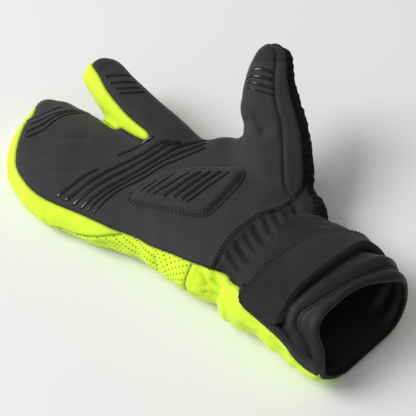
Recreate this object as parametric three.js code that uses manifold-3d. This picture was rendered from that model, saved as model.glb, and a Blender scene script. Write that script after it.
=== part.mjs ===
// Right-hand lobster claw winter glove, lying on its back with the palm up.
// Millimetres, +Z up. Fingers point to -X, the thumb to +Y, the mouth to +X.
import * as THREE from 'three';
import { mergeVertices } from 'three/addons/utils/BufferGeometryUtils.js';
import Module from 'manifold-3d';

const wasm = await Module();
wasm.setup();

// Driving sizes of the hand
const HAND_LENGTH = 203;
const HAND_WIDTH = 100;
const HAND_THICK = 40;
// The cuff, from the wrist seam to its mouth
const CUFF_LENGTH = 96;
const CUFF_WIDTH = 92;
const CUFF_HEIGHT = 60;
const CUFF_TURN = -12;
const MOUTH_LEAN = 7;
// The index finger, from its root inside the palm
const INDEX_LENGTH = 124;
const INDEX_WIDTH = 33;
const INDEX_THICK = 29;
const INDEX_SPREAD = 11.6;
const INDEX_RISE = 12.5;
const INDEX_ROOT = { along: -0.28, side: 0.29, height: 0.42 };
// The thumb, from its root inside the palm
const THUMB_LENGTH = 118;
const THUMB_WIDTH = 37;
const THUMB_THICK = 29;
const THUMB_SPREAD = 54.5;
const THUMB_RISE = 37;
const THUMB_ROOT = { along: -0.028, side: 0.30, height: 0.37 };
// Walls, layers and clearances
const WALL = 2.6;
const GAP = 0.35;
const CUFF_LAYER = 2.4;
const STRAP_LAYER = 3.2;
const PAD_FLANGE = 1.0;
const PAD_HEIGHT = 3.0;
const PAD_BORDER = 4.5;
const STRIPE_HEIGHT = 0.8;
const STRIPE_WIDTH = 2.2;
const BINDING_HEIGHT = 2.6;
const FLOOR_SINK = 2.4;
// Soft gathers of the elastic wrist
const GATHER_COUNT = 3;
const GATHER_DEPTH = 1.3;
const GATHER_LENGTH = 21;
const GATHER_BASE = 0.6;
const GATHER_SLANT = 1.2;

// Colours and finish of the cloth
const BLACK = 0x242527;
const STRAP_BLACK = 0x1d1e20;
const SILICONE = 0x0c0c0d;
const SILICONE_ROUGHNESS = 0.25;
const YELLOW = 0xc8f51e;
const CLOTH_ROUGHNESS = 0.9;

const RAD = Math.PI / 180;
const SQUARENESS = 2.5;
const WEDGE_REACH = 2;
const MOUTH_REACH = 12;
// Steps that the curved forms are cut into
const BODY_SIDES = 18;
const FINGER_SIDES = 12;
const TIP_ROWS = 5;
const HAND_STEPS = 7;
const CUFF_STEPS = 5;
const GATHER_STEPS = 3;
const WEDGE_STEPS = 7;
const GAUNTLET_STEPS = 8;
const STRAP_STEPS = 14;
const STRAP_BANDS = 3;
const SEAM_STEPS = 16;
const PAD_STEPS = 26;
const INDEX_STATIONS = [0, 0.35, 0.6, 0.78, 0.89, 0.965, 1];
const THUMB_STATIONS = [0, 0.2, 0.38, 0.54, 0.7, 0.84, 0.93, 0.98, 1];
// How far apart two places are when a form's slope is taken, and its least half size
const BODY_SLOPE_STEP = 1.5;
const FINGER_SLOPE_STEP = 0.01;
const LEAST_HALF = 0.4;
const CUFF_FLOOR = CUFF_LAYER + GAP;

// Hand sections from the mitten tip to the wrist seam: along is a share of HAND_LENGTH,
// side and wide are shares of HAND_WIDTH, low and high are shares of HAND_THICK
const HAND_ROWS = [
  { along: 1.0, side: 0.155, wide: 0.10, low: 0.27, high: 0.48 },
  { along: 0.985, side: 0.13, wide: 0.24, low: 0.15, high: 0.63 },
  { along: 0.956, side: 0.07, wide: 0.42, low: 0.05, high: 0.77 },
  { along: 0.921, side: -0.015, wide: 0.61, low: -0.01, high: 0.83 },
  { along: 0.867, side: -0.078, wide: 0.775, low: -0.04, high: 0.88 },
  { along: 0.788, side: -0.11, wide: 0.85, low: -0.06, high: 0.91 },
  { along: 0.67, side: -0.125, wide: 0.88, low: -0.06, high: 0.92 },
  { along: 0.552, side: -0.105, wide: 0.88, low: -0.06, high: 0.93 },
  { along: 0.443, side: -0.04, wide: 1.0, low: -0.06, high: 0.96 },
  { along: 0.335, side: 0.035, wide: 1.06, low: -0.06, high: 1.0 },
  { along: 0.222, side: 0.06, wide: 1.15, low: -0.06, high: 1.05 },
  { along: 0.123, side: 0.03, wide: 1.14, low: -0.05, high: 1.07 },
  { along: 0.039, side: -0.005, wide: 1.04, low: -0.03, high: 1.05 },
];
// Cuff sections from the wrist seam to the mouth: along is a share of CUFF_LENGTH, side and
// wide are shares of CUFF_WIDTH, high of CUFF_HEIGHT, turn of CUFF_TURN
const CUFF_ROWS = [
  { along: 0.0, side: -0.055, wide: 1.01, high: 0.68, turn: 0 },
  { along: 0.10, side: -0.10, wide: 1.02, high: 0.70, turn: 0.2 },
  { along: 0.22, side: -0.114, wide: 1.03, high: 0.78, turn: 0.45 },
  { along: 0.45, side: -0.135, wide: 1.01, high: 0.88, turn: 0.75 },
  { along: 0.65, side: -0.16, wide: 0.97, high: 0.95, turn: 0.95 },
  { along: 0.82, side: -0.185, wide: 0.91, high: 0.98, turn: 1 },
  { along: 0.94, side: -0.21, wide: 0.86, high: 0.98, turn: 1 },
  { along: 1.0, side: -0.23, wide: 0.84, high: 0.95, turn: 1 },
];
// Finger sections from the root to the tip: along is a share of the finger's length,
// wide and thick of its width and thickness, bow of its length
const INDEX_ROWS = [
  { along: 0, wide: 1.08, thick: 0.95, bow: 0 },
  { along: 0.3, wide: 1.08, thick: 1.0, bow: 0.01 },
  { along: 0.6, wide: 1.02, thick: 0.98, bow: 0.015 },
  { along: 0.8, wide: 0.95, thick: 0.93, bow: 0.01 },
  { along: 0.92, wide: 0.78, thick: 0.78, bow: 0 },
  { along: 0.98, wide: 0.48, thick: 0.48, bow: -0.005 },
  { along: 1, wide: 0.18, thick: 0.18, bow: -0.01 },
];
const THUMB_ROWS = [
  { along: 0, wide: 1.6, thick: 1.15, bow: 0 },
  { along: 0.2, wide: 1.58, thick: 1.15, bow: 0 },
  { along: 0.4, wide: 1.32, thick: 1.08, bow: 0 },
  { along: 0.55, wide: 1.12, thick: 1.0, bow: 0 },
  { along: 0.7, wide: 1.0, thick: 0.96, bow: 0 },
  { along: 0.85, wide: 0.9, thick: 0.88, bow: 0 },
  { along: 0.94, wide: 0.7, thick: 0.7, bow: 0 },
  { along: 0.985, wide: 0.42, thick: 0.42, bow: 0 },
  { along: 1, wide: 0.16, thick: 0.16, bow: 0 },
];

// Panel seams as angles round the body: 0 is the thumb side, 90 the palm, 180 the outer side.
// along is a share of HAND_LENGTH before the wrist and of CUFF_LENGTH after it
const SEAM_ROWS = [
  { along: -0.95, ulnar: 96, radial: 60, band: 200 },
  { along: -0.90, ulnar: 112, radial: 45, band: 200 },
  { along: -0.87, ulnar: 130, radial: 36, band: 198 },
  { along: -0.83, ulnar: 143, radial: 30, band: 196 },
  { along: -0.70, ulnar: 147, radial: 28, band: 194 },
  { along: -0.55, ulnar: 148, radial: 26, band: 187 },
  { along: -0.46, ulnar: 150, radial: 10, band: 175 },
  { along: -0.38, ulnar: 155, radial: -5, band: 160 },
  { along: -0.28, ulnar: 156, radial: -15, band: 157 },
  { along: -0.18, ulnar: 148, radial: -20, band: 149 },
  { along: -0.04, ulnar: 138, radial: -20, band: 139 },
  { along: 0.04, ulnar: 133, radial: -20, band: 134 },
  { along: 0.22, ulnar: 152, radial: -20, band: 153 },
  { along: 1, ulnar: 160, radial: -20, band: 161 },
];
const INDEX_PALM = { from: -20, to: 140 };
const THUMB_SEAMS = { side: 50, palm: 85, inner: 235 };
const PALM_START = -0.945;
const TIP_BAND = 0.945;
const BAND_END = 0.36;
const RADIAL_BAND = -14;
const BACK_SEAM = 0.11;
// The seam between the palm and the gathered wrist: along is a share of HAND_LENGTH
// from the wrist towards the cuff, side a share of HAND_WIDTH
const WRIST_SEAM = [
  { along: -0.035, side: -0.60 },
  { along: -0.038, side: -0.41 },
  { along: -0.047, side: -0.24 },
  { along: -0.045, side: -0.10 },
  { along: -0.026, side: 0.06 },
  { along: 0.008, side: 0.20 },
  { along: 0.024, side: 0.34 },
  { along: 0.065, side: 0.42 },
  { along: 0.10, side: 0.60 },
];

// The cuff's outer layers. along is a share of CUFF_LENGTH, edge the angle where the
// gauntlet's bound edge runs
const EDGE_ROWS = [
  { along: 0.02, edge: 168 },
  { along: 0.08, edge: 152 },
  { along: 0.16, edge: 151 },
  { along: 0.32, edge: 163 },
  { along: 0.42, edge: 172 },
  { along: 0.52, edge: 182 },
  { along: 0.60, edge: 200 },
  { along: 0.70, edge: 212 },
  { along: 0.97, edge: 216 },
];
const GAUNTLET_END = 347;
const BINDING_ANGLE = 8;
const BINDING_GAP = 0.8;
// The wrist strap round the body: near and far are shares of CUFF_LENGTH
const STRAP_ROWS = [
  { angle: 161, near: 0.42, far: 0.505 },
  { angle: 152, near: 0.32, far: 0.508 },
  { angle: 141, near: 0.19, far: 0.508 },
  { angle: 125, near: 0.18, far: 0.51 },
  { angle: 104, near: 0.19, far: 0.535 },
  { angle: 88, near: 0.26, far: 0.60 },
  { angle: 76, near: 0.31, far: 0.625 },
  { angle: 62, near: 0.38, far: 0.645 },
  { angle: 45, near: 0.49, far: 0.66 },
  { angle: 25, near: 0.54, far: 0.70 },
  { angle: 5, near: 0.57, far: 0.74 },
  { angle: -12, near: 0.59, far: 0.77 },
];
// The padded drop at the heel of the palm: along of HAND_LENGTH, side of HAND_WIDTH
const PAD_OUTLINE = [
  { along: -0.422, side: -0.23 },
  { along: -0.395, side: -0.28 },
  { along: -0.32, side: -0.245 },
  { along: -0.20, side: -0.18 },
  { along: -0.155, side: -0.10 },
  { along: -0.142, side: 0.10 },
  { along: -0.145, side: 0.28 },
  { along: -0.18, side: 0.345 },
  { along: -0.23, side: 0.31 },
  { along: -0.31, side: 0.165 },
  { along: -0.408, side: -0.12 },
];
// Grip stripes from start to end: x and y are shares of HAND_LENGTH and HAND_WIDTH,
// wide is a share of STRIPE_WIDTH
const PALM_STRIPES = [
  { x0: -0.634, y0: -0.465, x1: -0.58, y1: -0.15, wide: 1 },
  { x0: -0.604, y0: -0.465, x1: -0.446, y1: 0.29, wide: 1.1 },
  { x0: -0.573, y0: -0.465, x1: -0.40, y1: 0.36, wide: 1.1 },
  { x0: -0.543, y0: -0.465, x1: -0.365, y1: 0.42, wide: 1 },
  { x0: -0.518, y0: -0.46, x1: -0.35, y1: 0.41, wide: 0.8 },
  { x0: -0.495, y0: -0.455, x1: -0.338, y1: 0.38, wide: 0.6 },
  { x0: -0.565, y0: 0.0, x1: -0.50, y1: 0.255, wide: 0.8 },
];
const TIP_STRIPES = [
  { x0: -0.921, y0: -0.07, x1: -0.868, y1: 0.24, wide: 0.5 },
  { x0: -0.903, y0: -0.13, x1: -0.84, y1: 0.245, wide: 0.6 },
  { x0: -0.892, y0: -0.18, x1: -0.815, y1: 0.25, wide: 0.7 },
  { x0: -0.879, y0: -0.21, x1: -0.787, y1: 0.26, wide: 0.6 },
];
const INDEX_STRIPES = [
  { x0: -0.773, y0: 0.435, x1: -0.705, y1: 0.575, wide: 0.5 },
  { x0: -0.745, y0: 0.41, x1: -0.67, y1: 0.55, wide: 0.6 },
  { x0: -0.715, y0: 0.39, x1: -0.647, y1: 0.52, wide: 0.6 },
  { x0: -0.692, y0: 0.375, x1: -0.623, y1: 0.51, wide: 0.5 },
];
const THUMB_STRIPES = [
  { x0: -0.30, y0: 0.85, x1: -0.224, y1: 0.87, wide: 0.5 },
  { x0: -0.288, y0: 0.808, x1: -0.212, y1: 0.832, wide: 0.6 },
  { x0: -0.272, y0: 0.765, x1: -0.20, y1: 0.795, wide: 0.6 },
  { x0: -0.262, y0: 0.73, x1: -0.19, y1: 0.76, wide: 0.5 },
];
const PAD_STRIPES = [
  { x0: -0.392, y0: -0.15, x1: -0.361, y1: 0.04, wide: 0.4 },
  { x0: -0.378, y0: -0.15, x1: -0.339, y1: 0.09, wide: 0.6 },
  { x0: -0.358, y0: -0.144, x1: -0.312, y1: 0.135, wide: 1 },
  { x0: -0.334, y0: -0.13, x1: -0.287, y1: 0.197, wide: 1 },
  { x0: -0.305, y0: -0.116, x1: -0.253, y1: 0.24, wide: 1 },
  { x0: -0.276, y0: -0.10, x1: -0.224, y1: 0.27, wide: 0.7 },
  { x0: -0.248, y0: -0.095, x1: -0.203, y1: 0.275, wide: 0.6 },
];

// One column of a table between its rows, on a smooth curve
function between(rows, key, at) {
  const last = rows.length - 1;
  const above = rows.findIndex((row) => row.at > at);
  const i = above < 0 ? last - 1 : Math.max(above - 1, 0);
  const slope = (k) => {
    const before = rows[Math.max(k - 1, 0)];
    const after = rows[Math.min(k + 1, last)];
    return (after[key] - before[key]) / (after.at - before.at);
  };
  const step = rows[i + 1].at - rows[i].at;
  const t = Math.min(Math.max((at - rows[i].at) / step, 0), 1);
  const rise = t * t * (3 - 2 * t);
  const start = t * (1 - t) * (1 - t) * step * slope(i);
  const end = t * t * (t - 1) * step * slope(i + 1);
  return rows[i][key] * (1 - rise) + rows[i + 1][key] * rise + start + end;
}

// A power of a cosine or sine that keeps its sign, for a squarish oval
function squared(value, squareness) {
  return Math.sign(value) * Math.abs(value) ** (2 / squareness);
}

const bodyRows = [
  ...HAND_ROWS.map((row) => ({
    at: -row.along * HAND_LENGTH,
    y: row.side * HAND_WIDTH,
    half: row.wide * HAND_WIDTH / 2,
    low: row.low * HAND_THICK,
    high: row.high * HAND_THICK,
    turn: 0,
    floor: 0,
  })),
  ...CUFF_ROWS.map((row) => ({
    at: row.along * CUFF_LENGTH,
    y: row.side * CUFF_WIDTH,
    half: row.wide * CUFF_WIDTH / 2,
    low: CUFF_FLOOR - FLOOR_SINK,
    high: row.high * CUFF_HEIGHT,
    turn: row.turn * CUFF_TURN * RAD,
    floor: CUFF_FLOOR,
  })),
];

// The section of the hand and cuff at one distance from the wrist seam
function bodySection(at) {
  const value = (key, place = at) => between(bodyRows, key, place);
  const size = (place) => (value('half', place) + (value('high', place) - value('low', place)) / 2) / 2;
  const step = BODY_SLOPE_STEP;
  const turn = value('turn');
  const low = value('low');
  const share = Math.max(at, 0) / CUFF_LENGTH;
  const gathered = at > 0 && at < GATHER_LENGTH;
  return {
    centre: new THREE.Vector3(at, value('y'), (value('high') + low) / 2),
    axis: new THREE.Vector3(Math.cos(turn), Math.sin(turn), 0),
    across: new THREE.Vector3(-Math.sin(turn), Math.cos(turn), 0),
    up: new THREE.Vector3(0, 0, 1),
    half: value('half'),
    thick: (value('high') - low) / 2,
    slope: Math.atan2(size(at + step) - size(at - step), 2 * step),
    lean: MOUTH_LEAN * share * share / CUFF_HEIGHT,
    floor: value('floor'),
    pleat: gathered ? at / GATHER_LENGTH : null,
  };
}

function fingerSections(finger) {
  const rows = finger.rows.map((row) => ({ ...row, at: row.along }));
  const spread = finger.spread * RAD;
  const rise = finger.rise * RAD;
  const forward = new THREE.Vector3(-Math.cos(spread), Math.sin(spread), 0)
    .multiplyScalar(Math.cos(rise)).add(new THREE.Vector3(0, 0, Math.sin(rise)));
  const flat = new THREE.Vector3(forward.y, -forward.x, 0).normalize();
  const lift = new THREE.Vector3().crossVectors(flat, forward);
  const spot = (along) => finger.root.clone()
    .addScaledVector(forward, along * finger.length)
    .addScaledVector(lift, between(rows, 'bow', along) * finger.length);
  return finger.stations.map((along) => {
    const step = FINGER_SLOPE_STEP;
    const axis = spot(Math.min(along + step, 1)).sub(spot(Math.max(along - step, 0))).normalize();
    const across = new THREE.Vector3(axis.y, -axis.x, 0).normalize();
    const size = (place) => (between(rows, 'wide', place) * finger.width
      + between(rows, 'thick', place) * finger.thick) / 4;
    const before = Math.max(along - step, 0);
    const after = Math.min(along + step, 1);
    return {
      centre: spot(along),
      axis,
      across,
      up: new THREE.Vector3().crossVectors(across, axis),
      half: between(rows, 'wide', along) * finger.width / 2,
      thick: between(rows, 'thick', along) * finger.thick / 2,
      slope: Math.atan2(size(after) - size(before), (after - before) * finger.length),
      lean: 0,
      floor: 0,
      pleat: null,
    };
  });
}

// The points of one section at the given angles, moved in by an inset
function sectionRing(section, inset, angles) {
  const cut = inset * Math.cos(section.slope);
  const half = Math.max(section.half - cut, LEAST_HALF);
  const thick = Math.max(section.thick - cut, LEAST_HALF);
  const middle = section.centre.clone().addScaledVector(section.axis, inset * Math.sin(section.slope));
  return angles.map((angle) => {
    const lifted = GATHER_BASE + (1 - GATHER_BASE) * Math.sin(angle);
    const phase = 2 * Math.PI * GATHER_COUNT * section.pleat + GATHER_SLANT * Math.cos(angle);
    const pleat = section.pleat === null ? 0 : GATHER_DEPTH * lifted * Math.sin(phase);
    const point = middle.clone()
      .addScaledVector(section.across, (half + pleat) * squared(Math.cos(angle), SQUARENESS))
      .addScaledVector(section.up, (thick + pleat) * squared(Math.sin(angle), SQUARENESS));
    point.z = Math.max(point.z, section.floor + inset);
    point.x -= section.lean * point.z;
    return point;
  });
}

function fullTurn(sides) {
  return Array.from({ length: sides }, (unused, i) => 2 * Math.PI * i / sides);
}

// Rings of one count joined into a closed solid, each end closed by a fan round its own apex
function loft(rings, apexes) {
  const count = rings[0].length;
  const points = rings.flat();
  const triangles = [];
  for (let r = 0; r + 1 < rings.length; r += 1) {
    for (let k = 0; k < count; k += 1) {
      const next = (k + 1) % count;
      const [a, b, c, d] = [r * count + k, r * count + next, (r + 1) * count + next, (r + 1) * count + k];
      triangles.push([a, b, c], [a, c, d]);
    }
  }
  const lastRing = (rings.length - 1) * count;
  points.push(apexes[0], apexes[1]);
  for (let k = 0; k < count; k += 1) {
    const next = (k + 1) % count;
    triangles.push([points.length - 2, next, k]);
    triangles.push([points.length - 1, lastRing + k, lastRing + next]);
  }
  return closedSolid(points, triangles);
}

function closedSolid(points, triangles) {
  const volume = triangles.reduce((sum, [a, b, c]) => (
    sum + points[a].dot(new THREE.Vector3().crossVectors(points[b], points[c]))), 0);
  const turned = volume < 0 ? triangles.map(([a, b, c]) => [a, c, b]) : triangles;
  return new wasm.Manifold(new wasm.Mesh({
    numProp: 3,
    vertProperties: new Float32Array(points.flatMap((point) => point.toArray())),
    triVerts: new Uint32Array(turned.flat()),
  }));
}

// The whole skin of a form, moved in by an inset
function skin(sections, inset, sides) {
  const angles = fullTurn(sides);
  const shift = (section) => section.centre.clone()
    .addScaledVector(section.axis, inset * Math.sin(section.slope));
  const last = sections.length - 1;
  return loft(
    sections.map((section) => sectionRing(section, inset, angles)),
    [shift(sections[0]), shift(sections[last])],
  );
}

function steps(from, to, count) {
  return Array.from({ length: count + 1 }, (unused, i) => from + (to - from) * i / count);
}

const TIP_STATIONS = HAND_ROWS.slice(0, TIP_ROWS).map((row) => -row.along * HAND_LENGTH);
const handEnd = -HAND_ROWS[HAND_ROWS.length - 1].along * HAND_LENGTH;
const HAND_STATIONS = steps(TIP_STATIONS[TIP_STATIONS.length - 1], handEnd, HAND_STEPS).slice(1);
const WRIST_STATIONS = steps(0, GATHER_LENGTH, GATHER_COUNT * GATHER_STEPS);
const CUFF_STATIONS = steps(GATHER_LENGTH, CUFF_LENGTH, CUFF_STEPS).slice(1);
const bodyStations = [...TIP_STATIONS, ...HAND_STATIONS, ...WRIST_STATIONS, ...CUFF_STATIONS];
const body = bodyStations.map(bodySection);

// A place in the hand from shares of its length, width and thickness
function inHand(share) {
  return new THREE.Vector3(share.along * HAND_LENGTH, share.side * HAND_WIDTH, share.height * HAND_THICK);
}

const indexFinger = fingerSections({
  root: inHand(INDEX_ROOT),
  rows: INDEX_ROWS,
  length: INDEX_LENGTH,
  width: INDEX_WIDTH,
  thick: INDEX_THICK,
  spread: INDEX_SPREAD,
  rise: INDEX_RISE,
  stations: INDEX_STATIONS,
});
const thumb = fingerSections({
  root: inHand(THUMB_ROOT),
  rows: THUMB_ROWS,
  length: THUMB_LENGTH,
  width: THUMB_WIDTH,
  thick: THUMB_THICK,
  spread: THUMB_SPREAD,
  rise: THUMB_RISE,
  stations: THUMB_STATIONS,
});

function glove(inset) {
  return skin(body, inset, BODY_SIDES)
    .add(skin(indexFinger, inset, FINGER_SIDES))
    .add(skin(thumb, inset, FINGER_SIDES));
}

const bodySkin = (inset) => skin(body, inset, BODY_SIDES);
const shell = glove(0).subtract(hollow());
const bodyShell = shell.intersect(bodySkin(0));
const fingerShell = shell.subtract(bodySkin(-GAP));

// The hollow for the hand, open at the mouth
function hollow() {
  const past = bodySection(CUFF_LENGTH);
  past.centre = past.centre.clone().addScaledVector(past.axis, MOUTH_REACH);
  return skin([...body, past], WALL, BODY_SIDES)
    .add(skin(indexFinger, WALL, FINGER_SIDES))
    .add(skin(thumb, WALL, FINGER_SIDES));
}

// A wedge of a form between two angles, from its middle line to just past its skin, and
// larger all round by a spare amount where it cuts the neighbour of a panel
function wedge(sections, from, to, spare = 0) {
  const ring = (section, i, shift) => {
    const slack = spare / section.thick;
    const start = from(i) - slack;
    const end = Math.max(to(i) + slack, start + 0.02);
    const centre = section.centre.clone().addScaledVector(section.axis, shift);
    const moved = { ...section, centre };
    return [centre, ...sectionRing(moved, -WEDGE_REACH - 2 * spare, steps(start, end, WEDGE_STEPS))];
  };
  const last = sections.length - 1;
  const rings = sections.map((section, i) => ring(section, i, 0));
  if (spare > 0) {
    rings.unshift(ring(sections[0], 0, -spare));
    rings.push(ring(sections[last], last, spare));
  }
  return loft(rings, [rings[0][0], rings[rings.length - 1][0]]);
}

function prism(outline, bottom, top) {
  const shape = new THREE.Shape(outline);
  const raw = new THREE.ExtrudeGeometry(shape, { depth: top - bottom, bevelEnabled: false });
  raw.translate(0, 0, bottom);
  raw.deleteAttribute('normal');
  raw.deleteAttribute('uv');
  const merged = mergeVertices(raw, 1e-4);
  return new wasm.Manifold(new wasm.Mesh({
    numProp: 3,
    vertProperties: new Float32Array(merged.getAttribute('position').array),
    triVerts: new Uint32Array(merged.getIndex().array),
  }));
}

function slabOf(from, to) {
  const wide = 2 * HAND_WIDTH;
  return prism([
    new THREE.Vector2(from, -wide), new THREE.Vector2(to, -wide),
    new THREE.Vector2(to, wide), new THREE.Vector2(from, wide),
  ], -HAND_THICK, 4 * HAND_THICK);
}

const seamRows = SEAM_ROWS.map((row) => ({
  ...row,
  at: row.along < 0 ? row.along * HAND_LENGTH : row.along * CUFF_LENGTH,
}));
const seamAngle = (key, stations) => (i) => between(seamRows, key, stations[i]) * RAD;

// The palm side as one region: hand, index finger and thumb
function palmRegion(spare) {
  const first = body.findIndex((section) => section.centre.x > PALM_START * HAND_LENGTH);
  const hand = body.slice(first);
  const stations = bodyStations.slice(first);
  return wedge(hand, seamAngle('radial', stations), seamAngle('ulnar', stations), spare)
    .add(wedge(indexFinger.slice(0, -1), () => INDEX_PALM.from * RAD, () => INDEX_PALM.to * RAD, spare))
    .add(wedge(thumb.slice(0, -1), () => THUMB_SEAMS.palm * RAD, () => THUMB_SEAMS.inner * RAD, spare));
}

// The wrist seam across the palm, as a side of a plan outline
function pastWristSeam(spare) {
  const seam = new THREE.CatmullRomCurve3(WRIST_SEAM.map((row) => (
    new THREE.Vector3(row.along * HAND_LENGTH + spare, row.side * HAND_WIDTH, 0))));
  const near = seam.getPoints(SEAM_STEPS).map((point) => new THREE.Vector2(point.x, point.y));
  const wide = 2 * HAND_WIDTH;
  return prism([
    ...near,
    new THREE.Vector2(near[near.length - 1].x, wide),
    new THREE.Vector2(3 * CUFF_LENGTH, wide),
    new THREE.Vector2(3 * CUFF_LENGTH, -wide),
    new THREE.Vector2(near[0].x, -wide),
  ], -HAND_THICK, 4 * HAND_THICK);
}

const group = new THREE.Group();

function largest(solid) {
  return solid.decompose().reduce((best, next) => (next.volume() > best.volume() ? next : best));
}

function addPiece(name, solid, color, roughness) {
  const mesh = largest(solid).getMesh();
  const geometry = new THREE.BufferGeometry();
  geometry.setAttribute('position', new THREE.BufferAttribute(mesh.vertProperties, 3));
  geometry.setIndex(new THREE.BufferAttribute(mesh.triVerts, 1));
  const material = new THREE.MeshStandardMaterial({ color, roughness, metalness: 0 });
  const piece = new THREE.Mesh(geometry, material);
  piece.name = name;
  group.add(piece);
}

function addPanels() {
  const palm = palmRegion(0);
  const offPalm = palmRegion(GAP);
  const wristward = pastWristSeam(0);
  const handward = pastWristSeam(-GAP);
  const thumbSkin = skin(thumb, -1, FINGER_SIDES);
  const indexSkin = skin(indexFinger, -1, FINGER_SIDES);
  addPiece('palm_panel', shell.intersect(palm).subtract(handward), BLACK, CLOTH_ROUGHNESS);

  const sideWedge = (spare) => (
    wedge(thumb, () => THUMB_SEAMS.side * RAD, () => THUMB_SEAMS.palm * RAD, spare));
  const thumbShell = fingerShell.intersect(thumbSkin).subtract(offPalm).subtract(handward);
  addPiece('thumb_side', thumbShell.intersect(sideWedge(0)), BLACK, CLOTH_ROUGHNESS);
  addPiece('thumb_terry', thumbShell.subtract(sideWedge(GAP)), BLACK, 1);
  addPiece('index_side', fingerShell.intersect(indexSkin).subtract(offPalm), YELLOW, CLOTH_ROUGHNESS);

  const backEdge = -BACK_SEAM * HAND_LENGTH;
  const tipEnd = -TIP_BAND * HAND_LENGTH;
  const band = (spare) => {
    const ulnar = seamAngle('ulnar', bodyStations);
    const lower = seamAngle('band', bodyStations);
    const radial = seamAngle('radial', bodyStations);
    return wedge(body, ulnar, lower, spare)
      .add(wedge(body, () => RADIAL_BAND * RAD, radial, spare))
      .intersect(slabOf(-2 * HAND_LENGTH, -BAND_END * HAND_LENGTH + spare))
      .add(slabOf(-2 * HAND_LENGTH, tipEnd + spare));
  };
  const back = bodyShell.subtract(offPalm);
  const hand = slabOf(-2 * HAND_LENGTH, backEdge);
  addPiece('mitten_side', back.intersect(band(0)), YELLOW, CLOTH_ROUGHNESS);
  addPiece('back_panel', back.intersect(hand).subtract(band(GAP)), YELLOW, CLOTH_ROUGHNESS);

  const wrist = slabOf(backEdge + GAP, GATHER_LENGTH - GAP);
  const upper = (spare) => wedge(
    body,
    seamAngle('radial', bodyStations),
    seamAngle('ulnar', bodyStations),
    spare,
  );
  const gathers = shell.intersect(upper(0)).intersect(wristward).intersect(wrist);
  addPiece('wrist_gathers', gathers, BLACK, CLOTH_ROUGHNESS);
  const wristBack = back.subtract(upper(GAP)).intersect(wrist);
  addPiece('wrist_back', wristBack, YELLOW, CLOTH_ROUGHNESS);
  addPiece('inner_cuff', bodyShell.intersect(slabOf(GATHER_LENGTH, 3 * CUFF_LENGTH)), BLACK, CLOTH_ROUGHNESS);
}

// A sheet laid round the body: spot gives its point for two shares and an inset
function sheet(rows, columns, spot, low, high) {
  const layer = (inset) => steps(0, 1, rows).flatMap((u) => (
    steps(0, 1, columns).map((v) => spot(u, v, inset))));
  const points = [...layer(-low), ...layer(-high)];
  const offset = (rows + 1) * (columns + 1);
  const spotOf = (r, c, top) => r * (columns + 1) + c + (top ? offset : 0);
  const triangles = [];
  const quad = (a, b, c, d) => triangles.push([a, b, c], [a, c, d]);
  for (let r = 0; r < rows; r += 1) {
    for (let c = 0; c < columns; c += 1) {
      quad(spotOf(r, c, true), spotOf(r, c + 1, true), spotOf(r + 1, c + 1, true), spotOf(r + 1, c, true));
      quad(spotOf(r, c), spotOf(r + 1, c), spotOf(r + 1, c + 1), spotOf(r, c + 1));
    }
    quad(spotOf(r, 0), spotOf(r, 0, true), spotOf(r + 1, 0, true), spotOf(r + 1, 0));
    quad(spotOf(r, columns), spotOf(r + 1, columns), spotOf(r + 1, columns, true), spotOf(r, columns, true));
  }
  for (let c = 0; c < columns; c += 1) {
    quad(spotOf(0, c), spotOf(0, c + 1), spotOf(0, c + 1, true), spotOf(0, c, true));
    quad(spotOf(rows, c), spotOf(rows, c, true), spotOf(rows, c + 1, true), spotOf(rows, c + 1));
  }
  return closedSolid(points, triangles);
}

function bodySpot(at, angle, inset) {
  return sectionRing(bodySection(at), inset, [angle * RAD])[0];
}

function addCuffLayers() {
  const edges = EDGE_ROWS.map((row) => ({ ...row, at: row.along }));
  const first = EDGE_ROWS[0].along;
  const last = EDGE_ROWS[EDGE_ROWS.length - 1].along;
  const along = (u) => first + (last - first) * u;
  const edge = (u) => between(edges, 'edge', along(u));
  const under = bodySkin(-GAP);
  const gauntlet = sheet(GAUNTLET_STEPS, GAUNTLET_STEPS, (u, v, inset) => (
    bodySpot(along(u) * CUFF_LENGTH, edge(u) + (GAUNTLET_END - edge(u)) * v, inset)
  ), 0, GAP + CUFF_LAYER);
  const bound = (spare) => sheet(GAUNTLET_STEPS, 1, (u, v, inset) => (
    bodySpot(along(u) * CUFF_LENGTH, edge(u) - BINDING_ANGLE * v + spare * (1 - 2 * v), inset)
  ), 0, GAP + BINDING_HEIGHT + spare);
  addPiece('edge_binding', bound(0).subtract(under), BLACK, CLOTH_ROUGHNESS);
  addPiece('cuff_back', gauntlet.subtract(under).subtract(bound(BINDING_GAP)), YELLOW, CLOTH_ROUGHNESS);

  const turns = STRAP_ROWS.map((row) => ({ ...row, at: -row.angle }));
  const strap = sheet(STRAP_STEPS, STRAP_BANDS, (u, v, inset) => {
    const angle = turns[0].angle + (turns[turns.length - 1].angle - turns[0].angle) * u;
    const near = between(turns, 'near', -angle);
    const far = between(turns, 'far', -angle);
    return bodySpot((near + (far - near) * v) * CUFF_LENGTH, angle, inset);
  }, 0, GAP + STRAP_LAYER);
  addPiece('wrist_strap', strap.subtract(under).subtract(bound(BINDING_GAP)), STRAP_BLACK, 1);
}

const gloveCopies = new Map();

function gloveAt(height) {
  if (!gloveCopies.has(height)) gloveCopies.set(height, glove(-height));
  return gloveCopies.get(height);
}

// A raised piece on the surface, cut from a layer over the glove by a plan outline
function raised(outline, above, low, high) {
  return prism(outline, above, 4 * HAND_THICK).intersect(gloveAt(high)).subtract(gloveAt(low));
}

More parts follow.
